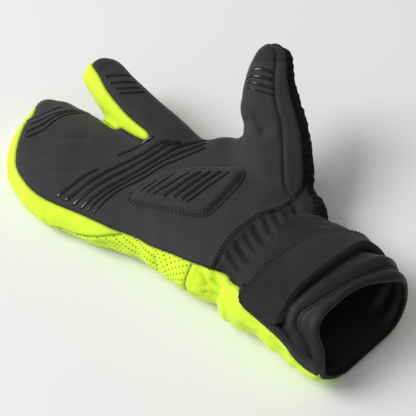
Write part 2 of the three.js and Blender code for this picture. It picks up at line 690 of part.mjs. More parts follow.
function stripeOutline(row) {
  const start = new THREE.Vector2(row.x0 * HAND_LENGTH, row.y0 * HAND_WIDTH);
  const end = new THREE.Vector2(row.x1 * HAND_LENGTH, row.y1 * HAND_WIDTH);
  const along = end.clone().sub(start).normalize();
  const half = new THREE.Vector2(-along.y, along.x).multiplyScalar(row.wide * STRIPE_WIDTH / 2);
  return [start.clone().sub(half), end.clone().sub(half), end.clone().add(half), start.clone().add(half)];
}

function addStripes(name, rows, above, low) {
  rows.forEach((row, i) => {
    const stripe = raised(stripeOutline(row), above, low, low + STRIPE_HEIGHT);
    addPiece(`${name}_${i + 1}`, stripe, SILICONE, SILICONE_ROUGHNESS);
  });
}

function middleHeight(sections) {
  return sections[Math.floor(sections.length / 2)].centre.z;
}

function addPad() {
  const corners = PAD_OUTLINE.map((row) => (
    new THREE.Vector3(row.along * HAND_LENGTH, row.side * HAND_WIDTH, 0)));
  const loop = new THREE.CatmullRomCurve3(corners, true, 'centripetal').getPoints(PAD_STEPS).slice(1);
  const middle = loop.reduce((sum, point) => sum.add(point), new THREE.Vector3()).divideScalar(loop.length);
  const moved = (by) => loop.map((point) => {
    const away = point.clone().sub(middle);
    const length = away.length();
    away.setLength(length - by);
    return new THREE.Vector2(middle.x + away.x, middle.y + away.y);
  });
  const above = HAND_THICK / 2;
  const flange = raised(moved(0), above, GAP, GAP + PAD_FLANGE);
  const crown = raised(moved(PAD_BORDER), above, GAP, GAP + PAD_HEIGHT);
  addPiece('palm_pad', flange.add(crown), BLACK, CLOTH_ROUGHNESS);
}

addPanels();
addCuffLayers();
addPad();
addStripes('palm_stripe', PALM_STRIPES, HAND_THICK / 2, GAP);
addStripes('tip_stripe', TIP_STRIPES, HAND_THICK / 2, GAP);
addStripes('index_stripe', INDEX_STRIPES, middleHeight(indexFinger), GAP);
addStripes('thumb_stripe', THUMB_STRIPES, middleHeight(thumb), GAP);
addStripes('pad_stripe', PAD_STRIPES, HAND_THICK / 2, 2 * GAP + PAD_HEIGHT);

// The glove stands with the middle of its resting face at the origin
const box = new THREE.Box3().setFromObject(group);
group.position.set(-(box.min.x + box.max.x) / 2, -(box.min.y + box.max.y) / 2, -box.min.z);

export default group;
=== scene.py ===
"""Right-hand lobster claw winter glove, dressed over its CAD frame.

The glove lies palm up. The sewn skin is one soft form, cut along its seams into panels.
Lengths in this file are millimetres in the glove's own axes (fingers -X, thumb +Y, palm +Z),
measured from the wrist seam; place() turns them into metres in the shared frame.
"""

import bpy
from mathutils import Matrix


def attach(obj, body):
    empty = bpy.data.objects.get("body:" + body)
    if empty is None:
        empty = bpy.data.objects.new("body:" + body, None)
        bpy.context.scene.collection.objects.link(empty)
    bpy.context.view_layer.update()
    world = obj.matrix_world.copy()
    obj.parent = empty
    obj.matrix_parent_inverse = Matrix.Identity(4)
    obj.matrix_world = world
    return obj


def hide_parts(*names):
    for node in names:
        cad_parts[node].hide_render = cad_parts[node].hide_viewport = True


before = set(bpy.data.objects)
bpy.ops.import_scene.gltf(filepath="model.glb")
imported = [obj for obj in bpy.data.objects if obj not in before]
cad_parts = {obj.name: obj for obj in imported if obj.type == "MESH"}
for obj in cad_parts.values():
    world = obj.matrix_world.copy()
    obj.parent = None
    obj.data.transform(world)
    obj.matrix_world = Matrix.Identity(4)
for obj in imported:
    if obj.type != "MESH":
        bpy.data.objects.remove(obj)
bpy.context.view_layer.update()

import math

import bpy
import numpy as np
from bpy.props import FloatProperty, FloatVectorProperty, IntProperty, PointerProperty
from bpy.types import Operator, Panel, PropertyGroup
from mathutils import Vector
from mathutils.bvhtree import BVHTree
from mathutils.kdtree import KDTree

bl_info = {
    "name": "Lobster claw glove",
    "version": (1, 0, 0),
    "blender": (4, 5, 0),
    "location": "3D View > Sidebar > Glove",
    "description": "Sews a three-compartment winter glove over its CAD frame",
    "category": "Object",
}

MM = 0.001
ORIGIN = np.array((50.65, -25.12, 0.0))
UP = np.array((0.0, 0.0, 1.0))

# Sizes of the hand, cuff, index finger and thumb, as in the CAD model
HAND_LENGTH = 203.0
HAND_WIDTH = 100.0
HAND_THICK = 40.0
CUFF_LENGTH = 96.0
CUFF_WIDTH = 92.0
CUFF_HEIGHT = 60.0
CUFF_TURN = -12.0
CUFF_FLOOR = 2.75
FLOOR_SINK = 2.4
MOUTH_LEAN = 7.0
SQUARENESS = 2.5
BACK_SEAM = -0.11 * HAND_LENGTH
PALM_START = -0.985 * HAND_LENGTH
TIP_BAND = -0.945 * HAND_LENGTH
BAND_END = -0.36 * HAND_LENGTH
RADIAL_BAND = -14.0
# Start and run of the gauntlet and its binding along the cuff, in shares of its length
GAUNTLET_ALONG = (0.035, 0.935)
GAUNTLET_END = 347.0
BINDING_ALONG = (0.2, 0.77)
BINDING_ANGLE = 10.5
# The camera: its place in metres and degrees, its sensor in millimetres, and its lens in pixels of the frame
CAMERA_TARGET = (0.01065, -0.02512, 0.033)
CAMERA_AZIMUTH = 34
CAMERA_ELEVATION = 51
CAMERA_DISTANCE = 0.8
SENSOR_WIDTH = 36.0
FOCAL_PIXELS = 1219
FRAME_PIXELS = 416


class Table:
    """Rows sorted by their first column and read between the rows on a smooth curve."""

    def __init__(self, columns, rows):
        self.columns = columns.split()
        self.rows = np.array(sorted(rows), float)

    def __call__(self, column, at):
        places = self.rows[:, 0]
        values = self.rows[:, self.columns.index(column)]
        last = len(places) - 1
        before = np.maximum(np.arange(last + 1) - 1, 0)
        after = np.minimum(np.arange(last + 1) + 1, last)
        slopes = (values[after] - values[before]) / (places[after] - places[before])
        at = np.asarray(at, float)
        i = np.clip(np.searchsorted(places, at, side="right") - 1, 0, last - 1)
        step = places[i + 1] - places[i]
        t = np.clip((at - places[i]) / step, 0, 1)
        rise = t * t * (3 - 2 * t)
        ends = t * (1 - t) ** 2 * step * slopes[i] + t * t * (t - 1) * step * slopes[i + 1]
        return values[i] * (1 - rise) + values[i + 1] * rise + ends


# along and side, wide of the hand, then low and high of its thickness
HAND_ROWS = (
    (1.0, 0.155, 0.10, 0.27, 0.48),
    (0.985, 0.13, 0.24, 0.15, 0.63),
    (0.956, 0.07, 0.42, 0.05, 0.77),
    (0.921, -0.015, 0.61, -0.01, 0.83),
    (0.867, -0.078, 0.775, -0.04, 0.88),
    (0.788, -0.113, 0.855, -0.06, 0.91),
    (0.67, -0.128, 0.885, -0.06, 0.92),
    (0.552, -0.105, 0.88, -0.06, 0.93),
    (0.443, -0.034, 0.988, -0.06, 0.96),
    (0.335, 0.041, 1.048, -0.06, 1.0),
    (0.222, 0.066, 1.138, -0.06, 1.05),
    (0.123, 0.036, 1.128, -0.05, 1.07),
    (0.039, -0.005, 1.04, -0.03, 1.05),
)
# along the cuff, side and wide of its width, high of its height, turn of its turn
CUFF_ROWS = (
    (0.0, -0.055, 1.01, 0.68, 0),
    (0.10, -0.10, 1.02, 0.70, 0.2),
    (0.22, -0.114, 1.03, 0.78, 0.45),
    (0.45, -0.135, 1.01, 0.88, 0.75),
    (0.65, -0.16, 0.97, 0.95, 0.95),
    (0.82, -0.185, 0.91, 0.98, 1),
    (0.94, -0.21, 0.86, 0.98, 1),
    (1.0, -0.23, 0.84, 0.95, 1),
)
BODY = Table(
    "at side half low high turn floor",
    [
        (-along * HAND_LENGTH, side * HAND_WIDTH, wide * HAND_WIDTH / 2,
         low * HAND_THICK, high * HAND_THICK, 0, 0)
        for along, side, wide, low, high in HAND_ROWS
    ]
    + [
        (along * CUFF_LENGTH, side * CUFF_WIDTH, wide * CUFF_WIDTH / 2, CUFF_FLOOR - FLOOR_SINK,
         high * CUFF_HEIGHT, math.radians(turn * CUFF_TURN), CUFF_FLOOR)
        for along, side, wide, high, turn in CUFF_ROWS
    ],
)
INDEX_TABLE = Table(
    "along wide thick bow sway",
    [
        (0, 1.2, 0.95, 0, -0.4), (0.2, 1.14, 1.0, 0.01, -1.0), (0.43, 1.08, 1.0, 0.013, -2.0),
        (0.66, 1.03, 0.98, 0.014, -2.3), (0.77, 0.99, 0.94, 0.01, -1.7), (0.88, 0.91, 0.88, 0.003, 0.8),
        (0.93, 0.79, 0.78, 0, 0.7), (0.965, 0.62, 0.62, -0.003, -0.3), (0.987, 0.4, 0.4, -0.006, -0.4),
        (1, 0.16, 0.16, -0.01, -0.4),
    ],
)
THUMB_TABLE = Table(
    "along wide thick bow sway",
    [
        (0, 1.3, 1.15, 0, 2.2), (0.157, 1.28, 1.15, 0, 1.9), (0.231, 1.31, 1.13, 0, 1.8),
        (0.303, 1.29, 1.1, 0, 1.7), (0.391, 1.26, 1.07, 0, 1.8), (0.463, 1.21, 1.04, 0, 1.9),
        (0.537, 1.14, 1.0, 0, 1.5), (0.586, 1.13, 0.99, 0, 0.0), (0.643, 1.09, 0.97, 0, -1.5),
        (0.711, 1.0, 0.94, 0, -1.8), (0.791, 0.88, 0.9, 0, -1.5), (0.871, 0.79, 0.8, 0, 0.2),
        (0.917, 0.71, 0.72, 0, 0.9), (0.951, 0.61, 0.6, 0, 1.0), (0.976, 0.43, 0.42, 0, 0.3),
        (1, 0.15, 0.15, 0, 0),
    ],
)
# Seam angles round the body: the palm's outer and thumb-side edges, and the yellow band's back edge
SEAMS = Table(
    "at ulnar radial band",
    [
        (along * (HAND_LENGTH if along < 0 else CUFF_LENGTH), ulnar, radial, band)
        for along, ulnar, radial, band in (
            (-0.985, 78, -30, 200), (-0.95, 98, -28, 200), (-0.90, 114, -24, 200), (-0.87, 130, -12, 198),
            (-0.83, 143, 10, 196), (-0.78, 146, 20, 195),
            (-0.70, 147, 20, 194), (-0.62, 147, 13, 191), (-0.55, 148, 8, 187), (-0.46, 150, 2, 175),
            (-0.38, 155, -5, 160), (-0.28, 156, -15, 157), (-0.18, 148, -20, 149), (-0.04, 138, -20, 139),
            (0.04, 133, -20, 134), (0.22, 152, -20, 153), (1, 160, -20, 161),
        )
    ],
)
WRIST_SEAM = Table(
    "side along",
    [
        (side * HAND_WIDTH, along * HAND_LENGTH)
        for along, side in (
            (-0.035, -0.60), (-0.038, -0.41), (-0.047, -0.24), (-0.045, -0.10), (-0.026, 0.06),
            (0.008, 0.20), (0.022, 0.34), (0.026, 0.44), (0.028, 0.60),
        )
    ],
)
GAUNTLET_EDGE = Table(
    "along edge",
    [
        (0.02, 137), (0.10, 134), (0.22, 141), (0.27, 150), (0.31, 155), (0.42, 161), (0.52, 166),
        (0.635, 171.5), (0.72, 177), (0.81, 183), (0.90, 187), (0.97, 188),
    ],
)
STRAP = Table(
    "angle near far",
    [
        (159, 0.42, 0.60), (154, 0.31, 0.63), (148, 0.245, 0.635), (140, 0.215, 0.63), (125, 0.235, 0.615),
        (105, 0.23, 0.615), (88, 0.28, 0.63), (76, 0.33, 0.64), (62, 0.40, 0.645), (45, 0.49, 0.66),
        (25, 0.54, 0.70), (5, 0.57, 0.74), (-12, 0.59, 0.77),
    ],
)
# The near edge of the gathered cloth, the hem and the mouth's rim, at angles round the cuff
CUFF_LINES = Table(
    "angle gather hem rim",
    [
        (-180, 21, 0.91, 1.0), (15, 31, 0.91, 1.0), (36, 29, 0.905, 0.995), (45, 24, 0.895, 0.99),
        (55, 16, 0.885, 0.985), (65, 11, 0.875, 0.97), (75, 10, 0.86, 0.945), (84, 16, 0.835, 0.91),
        (95, 21, 0.805, 0.88),
        (110, 21, 0.775, 0.865), (124, 21, 0.745, 0.86), (134, 21, 0.715, 0.865), (150, 21, 0.75, 0.90),
        (165, 21, 0.86, 0.97), (180, 21, 0.91, 1.0),
    ],
)
INDEX_YELLOW = Table(
    "along angle",
    [
        (0, 150), (0.34, 142), (0.41, 124), (0.5, 128), (0.6, 130), (0.7, 126), (0.81, 119), (0.93, 110),
        (0.97, 98), (1, 85),
    ],
)
INDEX_PALM = -20.0
INDEX_TIP_BAND = 0.977
STRAP_START = 159.0
STRAP_END = -12.0
THUMB_SIDE = 50.0
WRIST_TERRY = (-38.0, 26.0)
THUMB_PALM = (85.0, 235.0)
TOUCH_START = (0.875, 0.885)
# The padded drop at the heel of the palm
PAD_OUTLINE = (
    (-87.5, -26.1), (-80.2, -28.9), (-65.0, -24.5), (-40.6, -18.0), (-31.5, -10.0), (-28.8, 10.0),
    (-29.4, 28.0), (-36.5, 34.5), (-57.1, 23.0), (-72.7, 10.4), (-84.9, -6.8), (-88.6, -19.7),
)
# The drop's flat edge: its width and height, and how far the drop is sunk into the palm
PAD_BORDER = 3.9
PAD_FLANGE = 0.35
PAD_SEAT = 0.4
# Grip stripes in plan: width, then the points of the path
PALM_STRIPES = (
    (3.0, (-129.0, -47.5), (-124.0, -31.0), (-121.0, -22.0), (-118.0, -15.0)),
    (3.1, (-122.6, -47.0), (-118.0, -34.0), (-113.0, -17.0), (-107.0, -2.0), (-103.0, 7.0), (-97.0, 23.0),
     (-90.6, 29.0)),
    (3.1, (-116.3, -47.0), (-112.0, -34.0), (-106.5, -17.0), (-100.5, -1.0), (-96.0, 12.0), (-91.0, 26.0),
     (-84.5, 34.0)),
    (2.8, (-110.0, -47.0), (-106.0, -34.0), (-100.0, -17.0), (-94.0, 0.0), (-89.0, 16.0), (-85.0, 28.0),
     (-78.5, 39.0), (-73.0, 48.0)),
    (2.0, (-105.3, -46.5), (-102.5, -36.5), (-97.5, -20.5), (-91.5, -5.0), (-86.0, 12.0), (-81.0, 24.5),
     (-71.0, 44.0)),
    (1.6, (-100.6, -46.0), (-99.0, -39.0), (-95.0, -24.0), (-89.0, -10.0), (-83.0, 8.0), (-77.0, 21.0),
     (-69.0, 40.0)),
    (2.6, (-115.7, 0.0), (-110.5, 11.0), (-105.5, 21.0), (-101.0, 26.0)),
)


def squared(value):
    return np.sign(value) * np.abs(value) ** (2 / SQUARENESS)


def rounded_angle(a, b):
    """The section angle in degrees of a point given in shares of the section's half sizes."""
    power = SQUARENESS / 2
    return np.degrees(np.arctan2(np.sign(b) * np.abs(b) ** power, np.sign(a) * np.abs(a) ** power))


def body_points(at, angle, out=0.0):
    """Points of the hand and cuff at distances from the wrist seam and section angles in degrees."""
    at, angle, out = np.broadcast_arrays(*(np.asarray(v, float) for v in (at, angle, out)))
    past = np.maximum(at - CUFF_LENGTH, 0)
    at = np.minimum(at, CUFF_LENGTH)
    low, high, half = (BODY(key, at) for key in ("low", "high", "half"))
    turn = BODY("turn", at)

    def size(place):
        return (BODY("half", place) + (BODY("high", place) - BODY("low", place)) / 2) / 2

    slope = np.arctan2(size(at + 1.5) - size(at - 1.5), 3.0)
    share = np.maximum(at, 0) / CUFF_LENGTH
    lean = MOUTH_LEAN * share * share / CUFF_HEIGHT
    along = past - out * np.sin(slope)
    wide = (half + out * np.cos(slope)) * squared(np.cos(np.radians(angle)))
    rise = ((high - low) / 2 + out * np.cos(slope)) * squared(np.sin(np.radians(angle)))
    x = at + np.cos(turn) * along - np.sin(turn) * wide
    y = BODY("side", at) + np.sin(turn) * along + np.cos(turn) * wide
    z = np.maximum((high + low) / 2 + rise, BODY("floor", at) - out)
    return pushed(np.stack((x - lean * z, y, z), -1))


# Soft local pushes on the body: middle, reach and shift
PUSHES = (
    ((-191.0, 10.0, 28.0), 12.0, (2.8, -2.8, -3.2)),
    ((-181.0, 25.0, 26.0), 8.0, (-0.8, 1.6, 0.0)),
    ((-170.0, -48.0, 22.0), 17.0, (2.2, 2.4, 0.0)),
    ((-130.0, -56.0, 12.0), 28.0, (-0.2, -1.8, 0.0)),
    ((-86.0, -54.0, 12.0), 9.0, (0.0, 1.7, 0.3)),
    ((-140.0, 29.0, 26.0), 30.0, (0.0, 0.8, 0.4)),
    ((-2.0, -52.0, 16.0), 9.0, (0.0, 2.6, 0.0)),
    ((15.0, -57.0, 18.0), 17.0, (0.6, 2.3, 0.0)),
    ((35.0, -58.0, 14.0), 9.0, (0.0, 2.8, 0.8)),
    ((73.0, -60.0, 17.0), 20.0, (0.4, -5.0, 0.0)),
    ((47.0, 30.0, 39.0), 11.0, (0.2, 0.9, 0.8)),
    ((69.0, 25.0, 43.0), 15.0, (-1.6, -2.7, -0.9)),
)


def pushed(points):
    shifts = np.zeros(points.shape)
    for middle, reach, shift in PUSHES:
        away = np.linalg.norm(points - np.array(middle), axis=-1) / reach
        shifts += np.exp(-away ** 2)[..., None] * np.array(shift)
    shifts[..., 2] = np.maximum(shifts[..., 2], -points[..., 2])
    return points + shifts


def body_place(points):
    """Distance from the wrist seam, section angle and distance off the skin of given points."""
    x, y, z = points.T
    at = x.copy()
    for _ in range(3):
        turn = BODY("turn", np.minimum(at, CUFF_LENGTH))
        share = np.clip(at / CUFF_LENGTH, 0, 1)
        lean = MOUTH_LEAN * share * share / CUFF_HEIGHT
        wide = (y - BODY("side", at)) / np.cos(turn)
        at = x + lean * z + np.sin(turn) * wide
    half = BODY("half", at)
    low, high = BODY("low", at), BODY("high", at)
    a = wide / half
    b = (z - (high + low) / 2) / ((high - low) / 2)
    reach = (np.abs(a) ** SQUARENESS + np.abs(b) ** SQUARENESS) ** (1 / SQUARENESS)
    off = (reach - 1) * (half + (high - low) / 2) / 2 + np.maximum(-HAND_LENGTH - x, 0)
    return at, rounded_angle(a, b), off


class Finger:
    """A straight, slightly bowed finger that grows out of the palm."""

    def __init__(self, table, root, length, width, thick, spread, rise):
        self.table = table
        self.root = np.array(root)
        self.length, self.width, self.thick = length, width, thick
        spread, rise = math.radians(spread), math.radians(rise)
        level = math.cos(rise)
        self.forward = np.array((-math.cos(spread) * level, math.sin(spread) * level, math.sin(rise)))
        self.across = np.array((self.forward[1], -self.forward[0], 0.0))
        self.across /= np.linalg.norm(self.across)
        self.up = np.cross(self.across, self.forward)

    def spot(self, along):
        bow = self.table("bow", along) * self.length
        sway = self.table("sway", along)
        line = self.root + along[..., None] * self.forward * self.length
        return line + bow[..., None] * self.up + sway[..., None] * self.across

    def points(self, along, angle):
        along, angle = np.broadcast_arrays(np.asarray(along, float), np.asarray(angle, float))
        half = self.table("wide", along) * self.width / 2
        thick = self.table("thick", along) * self.thick / 2
        wide = half * squared(np.cos(np.radians(angle)))
        rise = thick * squared(np.sin(np.radians(angle)))
        points = self.spot(along) + wide[..., None] * self.across + rise[..., None] * self.up
        points[..., 2] = np.maximum(points[..., 2], 0)
        return points

    def place(self, points):
        along = (points - self.root) @ self.forward / self.length
        inside = np.clip(along, 0, 0.97)
        half = self.table("wide", inside) * self.width / 2
        thick = self.table("thick", inside) * self.thick / 2
        from_middle = points - self.spot(inside)
        a, b = from_middle @ self.across / half, from_middle @ self.up / thick
        reach = (np.abs(a) ** SQUARENESS + np.abs(b) ** SQUARENESS) ** (1 / SQUARENESS)
        past = np.maximum(along - 0.97, 0) + np.maximum(-along, 0)
        off = (reach - 1) * (half + thick) / 2 + past * self.length
        return along, rounded_angle(a, b), off, (half + thick) / 2


INDEX = Finger(INDEX_TABLE, (-56.84, 29.0, 16.8), 127.0, 33.0, 29.0, 11.6, 12.5)
THUMB = Finger(THUMB_TABLE, (-5.684, 30.0, 14.8), 118.0, 37.0, 29.0, 54.5, 37.0)


def tube(rings):
    """A closed tube through rings of points, with a fan over each end."""
    count, sides = rings.shape[:2]
    points = list(rings.reshape(-1, 3)) + [rings[0].mean(0), rings[-1].mean(0)]
    faces = []
    for r in range(count - 1):
        for k in range(sides):
            after = (k + 1) % sides
            faces.append((r * sides + k, r * sides + after, (r + 1) * sides + after, (r + 1) * sides + k))
    last = (count - 1) * sides
    for k in range(sides):
        after = (k + 1) % sides
        faces.append((count * sides, after, k))
        faces.append((count * sides + 1, last + k, last + after))
    return np.array(points), faces


# Soft lumps that fill the web and the thumb side of the wrist: middle, direction in plan, half sizes
LUMPS = (
    ((-60.0, 49.0, 27.6), 37.3, (20.5, 11.3, 13.2)),
    ((11.4, 39.0, 21.0), -39.3, (22.0, 15.0, 16.0)),
    ((-45.5, 55.5, 36.0), 54.5, (13.0, 9.0, 9.5)),
)


def lump(middle, direction, sizes):
    """A rounded lump as a closed tube."""
    turn = math.radians(direction)
    lengthwise = np.array((math.cos(turn), math.sin(turn), 0))
    across = np.array((-math.sin(turn), math.cos(turn), 0))
    share = np.linspace(-0.99, 0.99, 24)[:, None]
    around = np.radians(np.arange(0, 360, 12.0))[None, :]
    width = np.sqrt(1 - share * share)
    return tube(
        np.array(middle) + (share * sizes[0] + 0 * around)[..., None] * lengthwise
        + (width * np.cos(around) * sizes[1])[..., None] * across
        + (width * np.sin(around) * sizes[2])[..., None] * UP
    )


def turned_out(points, faces):
    """Faces of a closed solid, turned so that they point outwards."""
    corners = np.array([(face[0], face[1], face[2]) for face in faces])
    quads = np.array([(face[0], face[2], face[3]) for face in faces if len(face) == 4]).reshape(-1, 3)
    both = np.concatenate((corners, quads))
    a, b, c = points[both[:, 0]], points[both[:, 1]], points[both[:, 2]]
    volume = np.einsum("ij,ij->", a - points.mean(0), np.cross(b - points.mean(0), c - points.mean(0)))
    return faces if volume > 0 else [tuple(face)[::-1] for face in faces]


def ripple(points, length, seed):
    """A smooth irregular wave over points, from about -1 to 1."""
    draw = np.random.default_rng(seed)
    total = np.zeros(len(points))
    waves = 6
    for _ in range(waves):
        direction = draw.normal(size=3)
        direction /= np.linalg.norm(direction)
        stretch = draw.uniform(0.75, 1.35)
        total += np.sin(points @ direction * 2 * math.pi / (length * stretch) + draw.uniform(0, 2 * math.pi))
    return total / math.sqrt(waves)


def relaxed(values, edges, rounds, share):
    """Values on linked points, evened out with their neighbours."""
    values = values.copy()
    count = len(values)
    flat = values.reshape(count, -1)
    share = np.broadcast_to(np.asarray(share, float), (count,))
    links = np.bincount(edges.ravel(), minlength=count)
    for _ in range(rounds):
        for k in range(flat.shape[1]):
            column = flat[:, k]
            near = np.bincount(edges[:, 0], column[edges[:, 1]], count)
            near += np.bincount(edges[:, 1], column[edges[:, 0]], count)
            flat[:, k] = column + share * (near / links - column)
    return values


def normals_of(points, faces):
    """Outward normals at the points of a mesh of triangles."""
    a, b, c = (points[faces[:, k]] for k in range(3))
    across = np.cross(b - a, c - a)
    normals = np.stack([
        sum(np.bincount(faces[:, k], across[:, axis], len(points)) for k in range(3)) for axis in range(3)
    ], -1)
    return normals / np.maximum(np.linalg.norm(normals, axis=1, keepdims=True), 1e-9)


def edges_of(faces):
    pairs = np.sort(np.concatenate((faces[:, (0, 1)], faces[:, (1, 2)], faces[:, (2, 0)])), axis=1)
    return np.unique(pairs, axis=0, return_counts=True)


# Folds pressed into the cloth: width and depth, then the fold's path
FOLDS = (
    (1.7, 2.1, (1.6, 16.0, 39.8), (9.1, 9.3, 41.5)),
    (1.5, 1.7, (-0.8, 8.2, 40.7), (7.6, 1.0, 41.3)),
    (1.8, 2.2, (-3.7, -0.4, 41.1), (8.6, -9.4, 41.8)),
    (1.5, 1.6, (-4.4, -9.6, 40.6), (7.2, -17.6, 41.3)),
    (1.8, 2.0, (-5.6, -17.8, 40.5), (8.4, -26.2, 40.8)),
    (1.6, 1.6, (-6.4, -26.6, 39.9), (6.0, -33.6, 40.0)),
    (1.8, 1.8, (-6.6, -35.4, 37.6), (6.4, -41.6, 37.6)),
    (1.8, 2.1, (6.2, 22.1, 37.4), (10.9, 17.9, 39.9)),
    (2.2, 2.4, (8.3, 30.0, 35.8), (13.3, 24.7, 36.6)),
    (2.2, 2.0, (13.0, 37.0, 30.0), (19.0, 31.0, 34.0)),
    (1.4, 1.0, (14.0, 18.6, 41.2), (28.4, 25.7, 41.4), (34.8, 33.6, 35.9)),
    (2.0, 2.0, (-13.4, -46.2, 32.7), (-7.8, -50.0, 29.6)),
    (2.2, 2.2, (-9.7, -50.3, 22.7), (-2.0, -53.4, 25.2), (3.0, -54.0, 27.0)),
    (1.8, 1.8, (-5.2, -46.0, 32.4), (1.4, -49.1, 30.5)),
    (2.2, 2.0, (-22.0, -50.0, 18.0), (-10.0, -52.0, 14.0), (2.0, -54.0, 14.0)),
    (1.8, 1.6, (-131.1, -54.2, 25.4), (-130.8, -56.0, 16.6)),
    (2.6, 2.2, (-88.0, -52.6, 15.0), (-76.0, -51.8, 15.8)),
    (3.0, 2.2, (-65.6, -49.0, 26.4), (-61.7, -50.3, 14.0)),
    (2.6, 2.0, (-49.6, -49.0, 26.5), (-45.4, -50.6, 15.0)),
    (2.4, 0.9, (-172.2, -15.1, 35.2), (-156.2, -8.7, 36.1), (-142.9, 2.0, 36.1)),
    (2.2, 0.7, (-168.0, -38.3, 30.7), (-159.8, -31.7, 34.4), (-154.9, -23.6, 35.9)),
    (2.2, 0.8, (-151.5, -38.8, 33.6), (-136.7, -28.0, 35.9), (-119.6, -17.1, 38.0)),
    (3.4, 3.4, (-50.3, 60.6, 59.4), (-42.4, 58.1, 62.5), (-34.9, 56.2, 60.9)),
    (3.0, 3.6, (24.5, -62.3, 21.1), (31.6, -61.8, 21.0), (38.0, -60.1, 15.6)),
    (2.2, 2.2, (38.0, -60.0, 26.0), (47.0, -61.5, 21.0), (56.0, -60.0, 16.0)),
    (2.6, 2.6, (58.0, -62.4, 24.2), (66.0, -61.0, 17.0)),
)


def fold_depth(points):
    """How far the cloth is pressed in by the listed folds, and painted shade that is darkest on each fold's
    line.
    """
    depth, painted_crease_shade = np.zeros(len(points)), np.zeros(len(points))
    for width, deep, *path in FOLDS:
        path = np.array(path)
        away = np.full(len(points), 1e3)
        for start, end in zip(path[:-1], path[1:]):
            run = end - start
            share = np.clip((points - start) @ run / (run @ run), 0, 1)
            away = np.minimum(away, np.linalg.norm(points - start - share[:, None] * run, axis=1))
        # Painted shade: darkest on the fold's line, to darken the cloth's colour in the crease.
        painted_crease_shade = np.maximum(painted_crease_shade, np.exp(-(away / 1.3) ** 2) * min(deep / 2.4, 1))
        away /= width
        sharp = 0.35 * np.exp(-(away / 0.6) ** 2) + 0.7 * np.exp(-away / 0.95)
        depth += deep * (sharp - 0.22 * np.exp(-((away - 2.7) / 1.1) ** 2))
    return depth, painted_crease_shade


def wrist_gathers(at, angle, points):
    """Irregular folds of the elastic wrist, deepest at the seam and gone under the strap, with painted shade
    along their valleys.
    """
    seam = WRIST_SEAM("along", points[:, 1])
    past = at - seam
    open_end = np.clip(past / 3.0, 0, 1) * np.clip((40.0 - past) / 22.0, 0, 1)
    round_palm = np.clip((angle + 8) / 20, 0, 1) * np.clip((142 - angle) / 12, 0, 1)
    wander = 1.5 * ripple(points, 26.0, 3) + 0.05 * past
    phase = np.radians(angle) * 13.0 + wander
    sharp = np.abs(np.sin(phase / 2)) ** 0.7
    uneven = 0.65 + 0.35 * ripple(points, 17.0, 5)
    reach = open_end * round_palm
    # The second value is painted shade, darkest in the valleys of the folds.
    return 1.1 * (sharp - 0.75) * uneven * reach, np.exp(-(np.sin(phase / 2) / 0.22) ** 2) * uneven * reach


def cuff_roll(at, angle):
    """The soft roll of the inner cuff between the strap and the mouth."""
    hem = CUFF_LINES("hem", angle) * CUFF_LENGTH
    strap = STRAP("far", np.clip(angle, STRAP_END, STRAP_START)) * CUFF_LENGTH
    roll = 2.4 * np.exp(-((at - hem + 8.0) / 4.5) ** 2) - 1.5 * np.exp(-((at - hem) / 1.6) ** 2)
    roll += 0.6 * np.exp(-((at - hem - 4.5) / 2.5) ** 2)
    return roll - 2.0 * np.exp(-((at - strap - 1.0) / 3.0) ** 2)


class Surface:
    """A form that other pieces are laid on."""

    def __init__(self, points, faces):
        self.tree = BVHTree.FromPolygons(points, faces)

    def onto(self, place, height=400.0):
        """The surface under a place in plan, and its normal there."""
        hit, normal, _, _ = self.tree.ray_cast(Vector((place[0], place[1], height)), Vector((0, 0, -1)))
        if hit is None:
            hit, normal, _, _ = self.tree.find_nearest(Vector((place[0], place[1], 20.0)))
        return np.array(hit), np.array(normal)

    def nearest(self, place):
        hit, normal, _, _ = self.tree.find_nearest(Vector(place))
        return np.array(hit), np.array(normal)


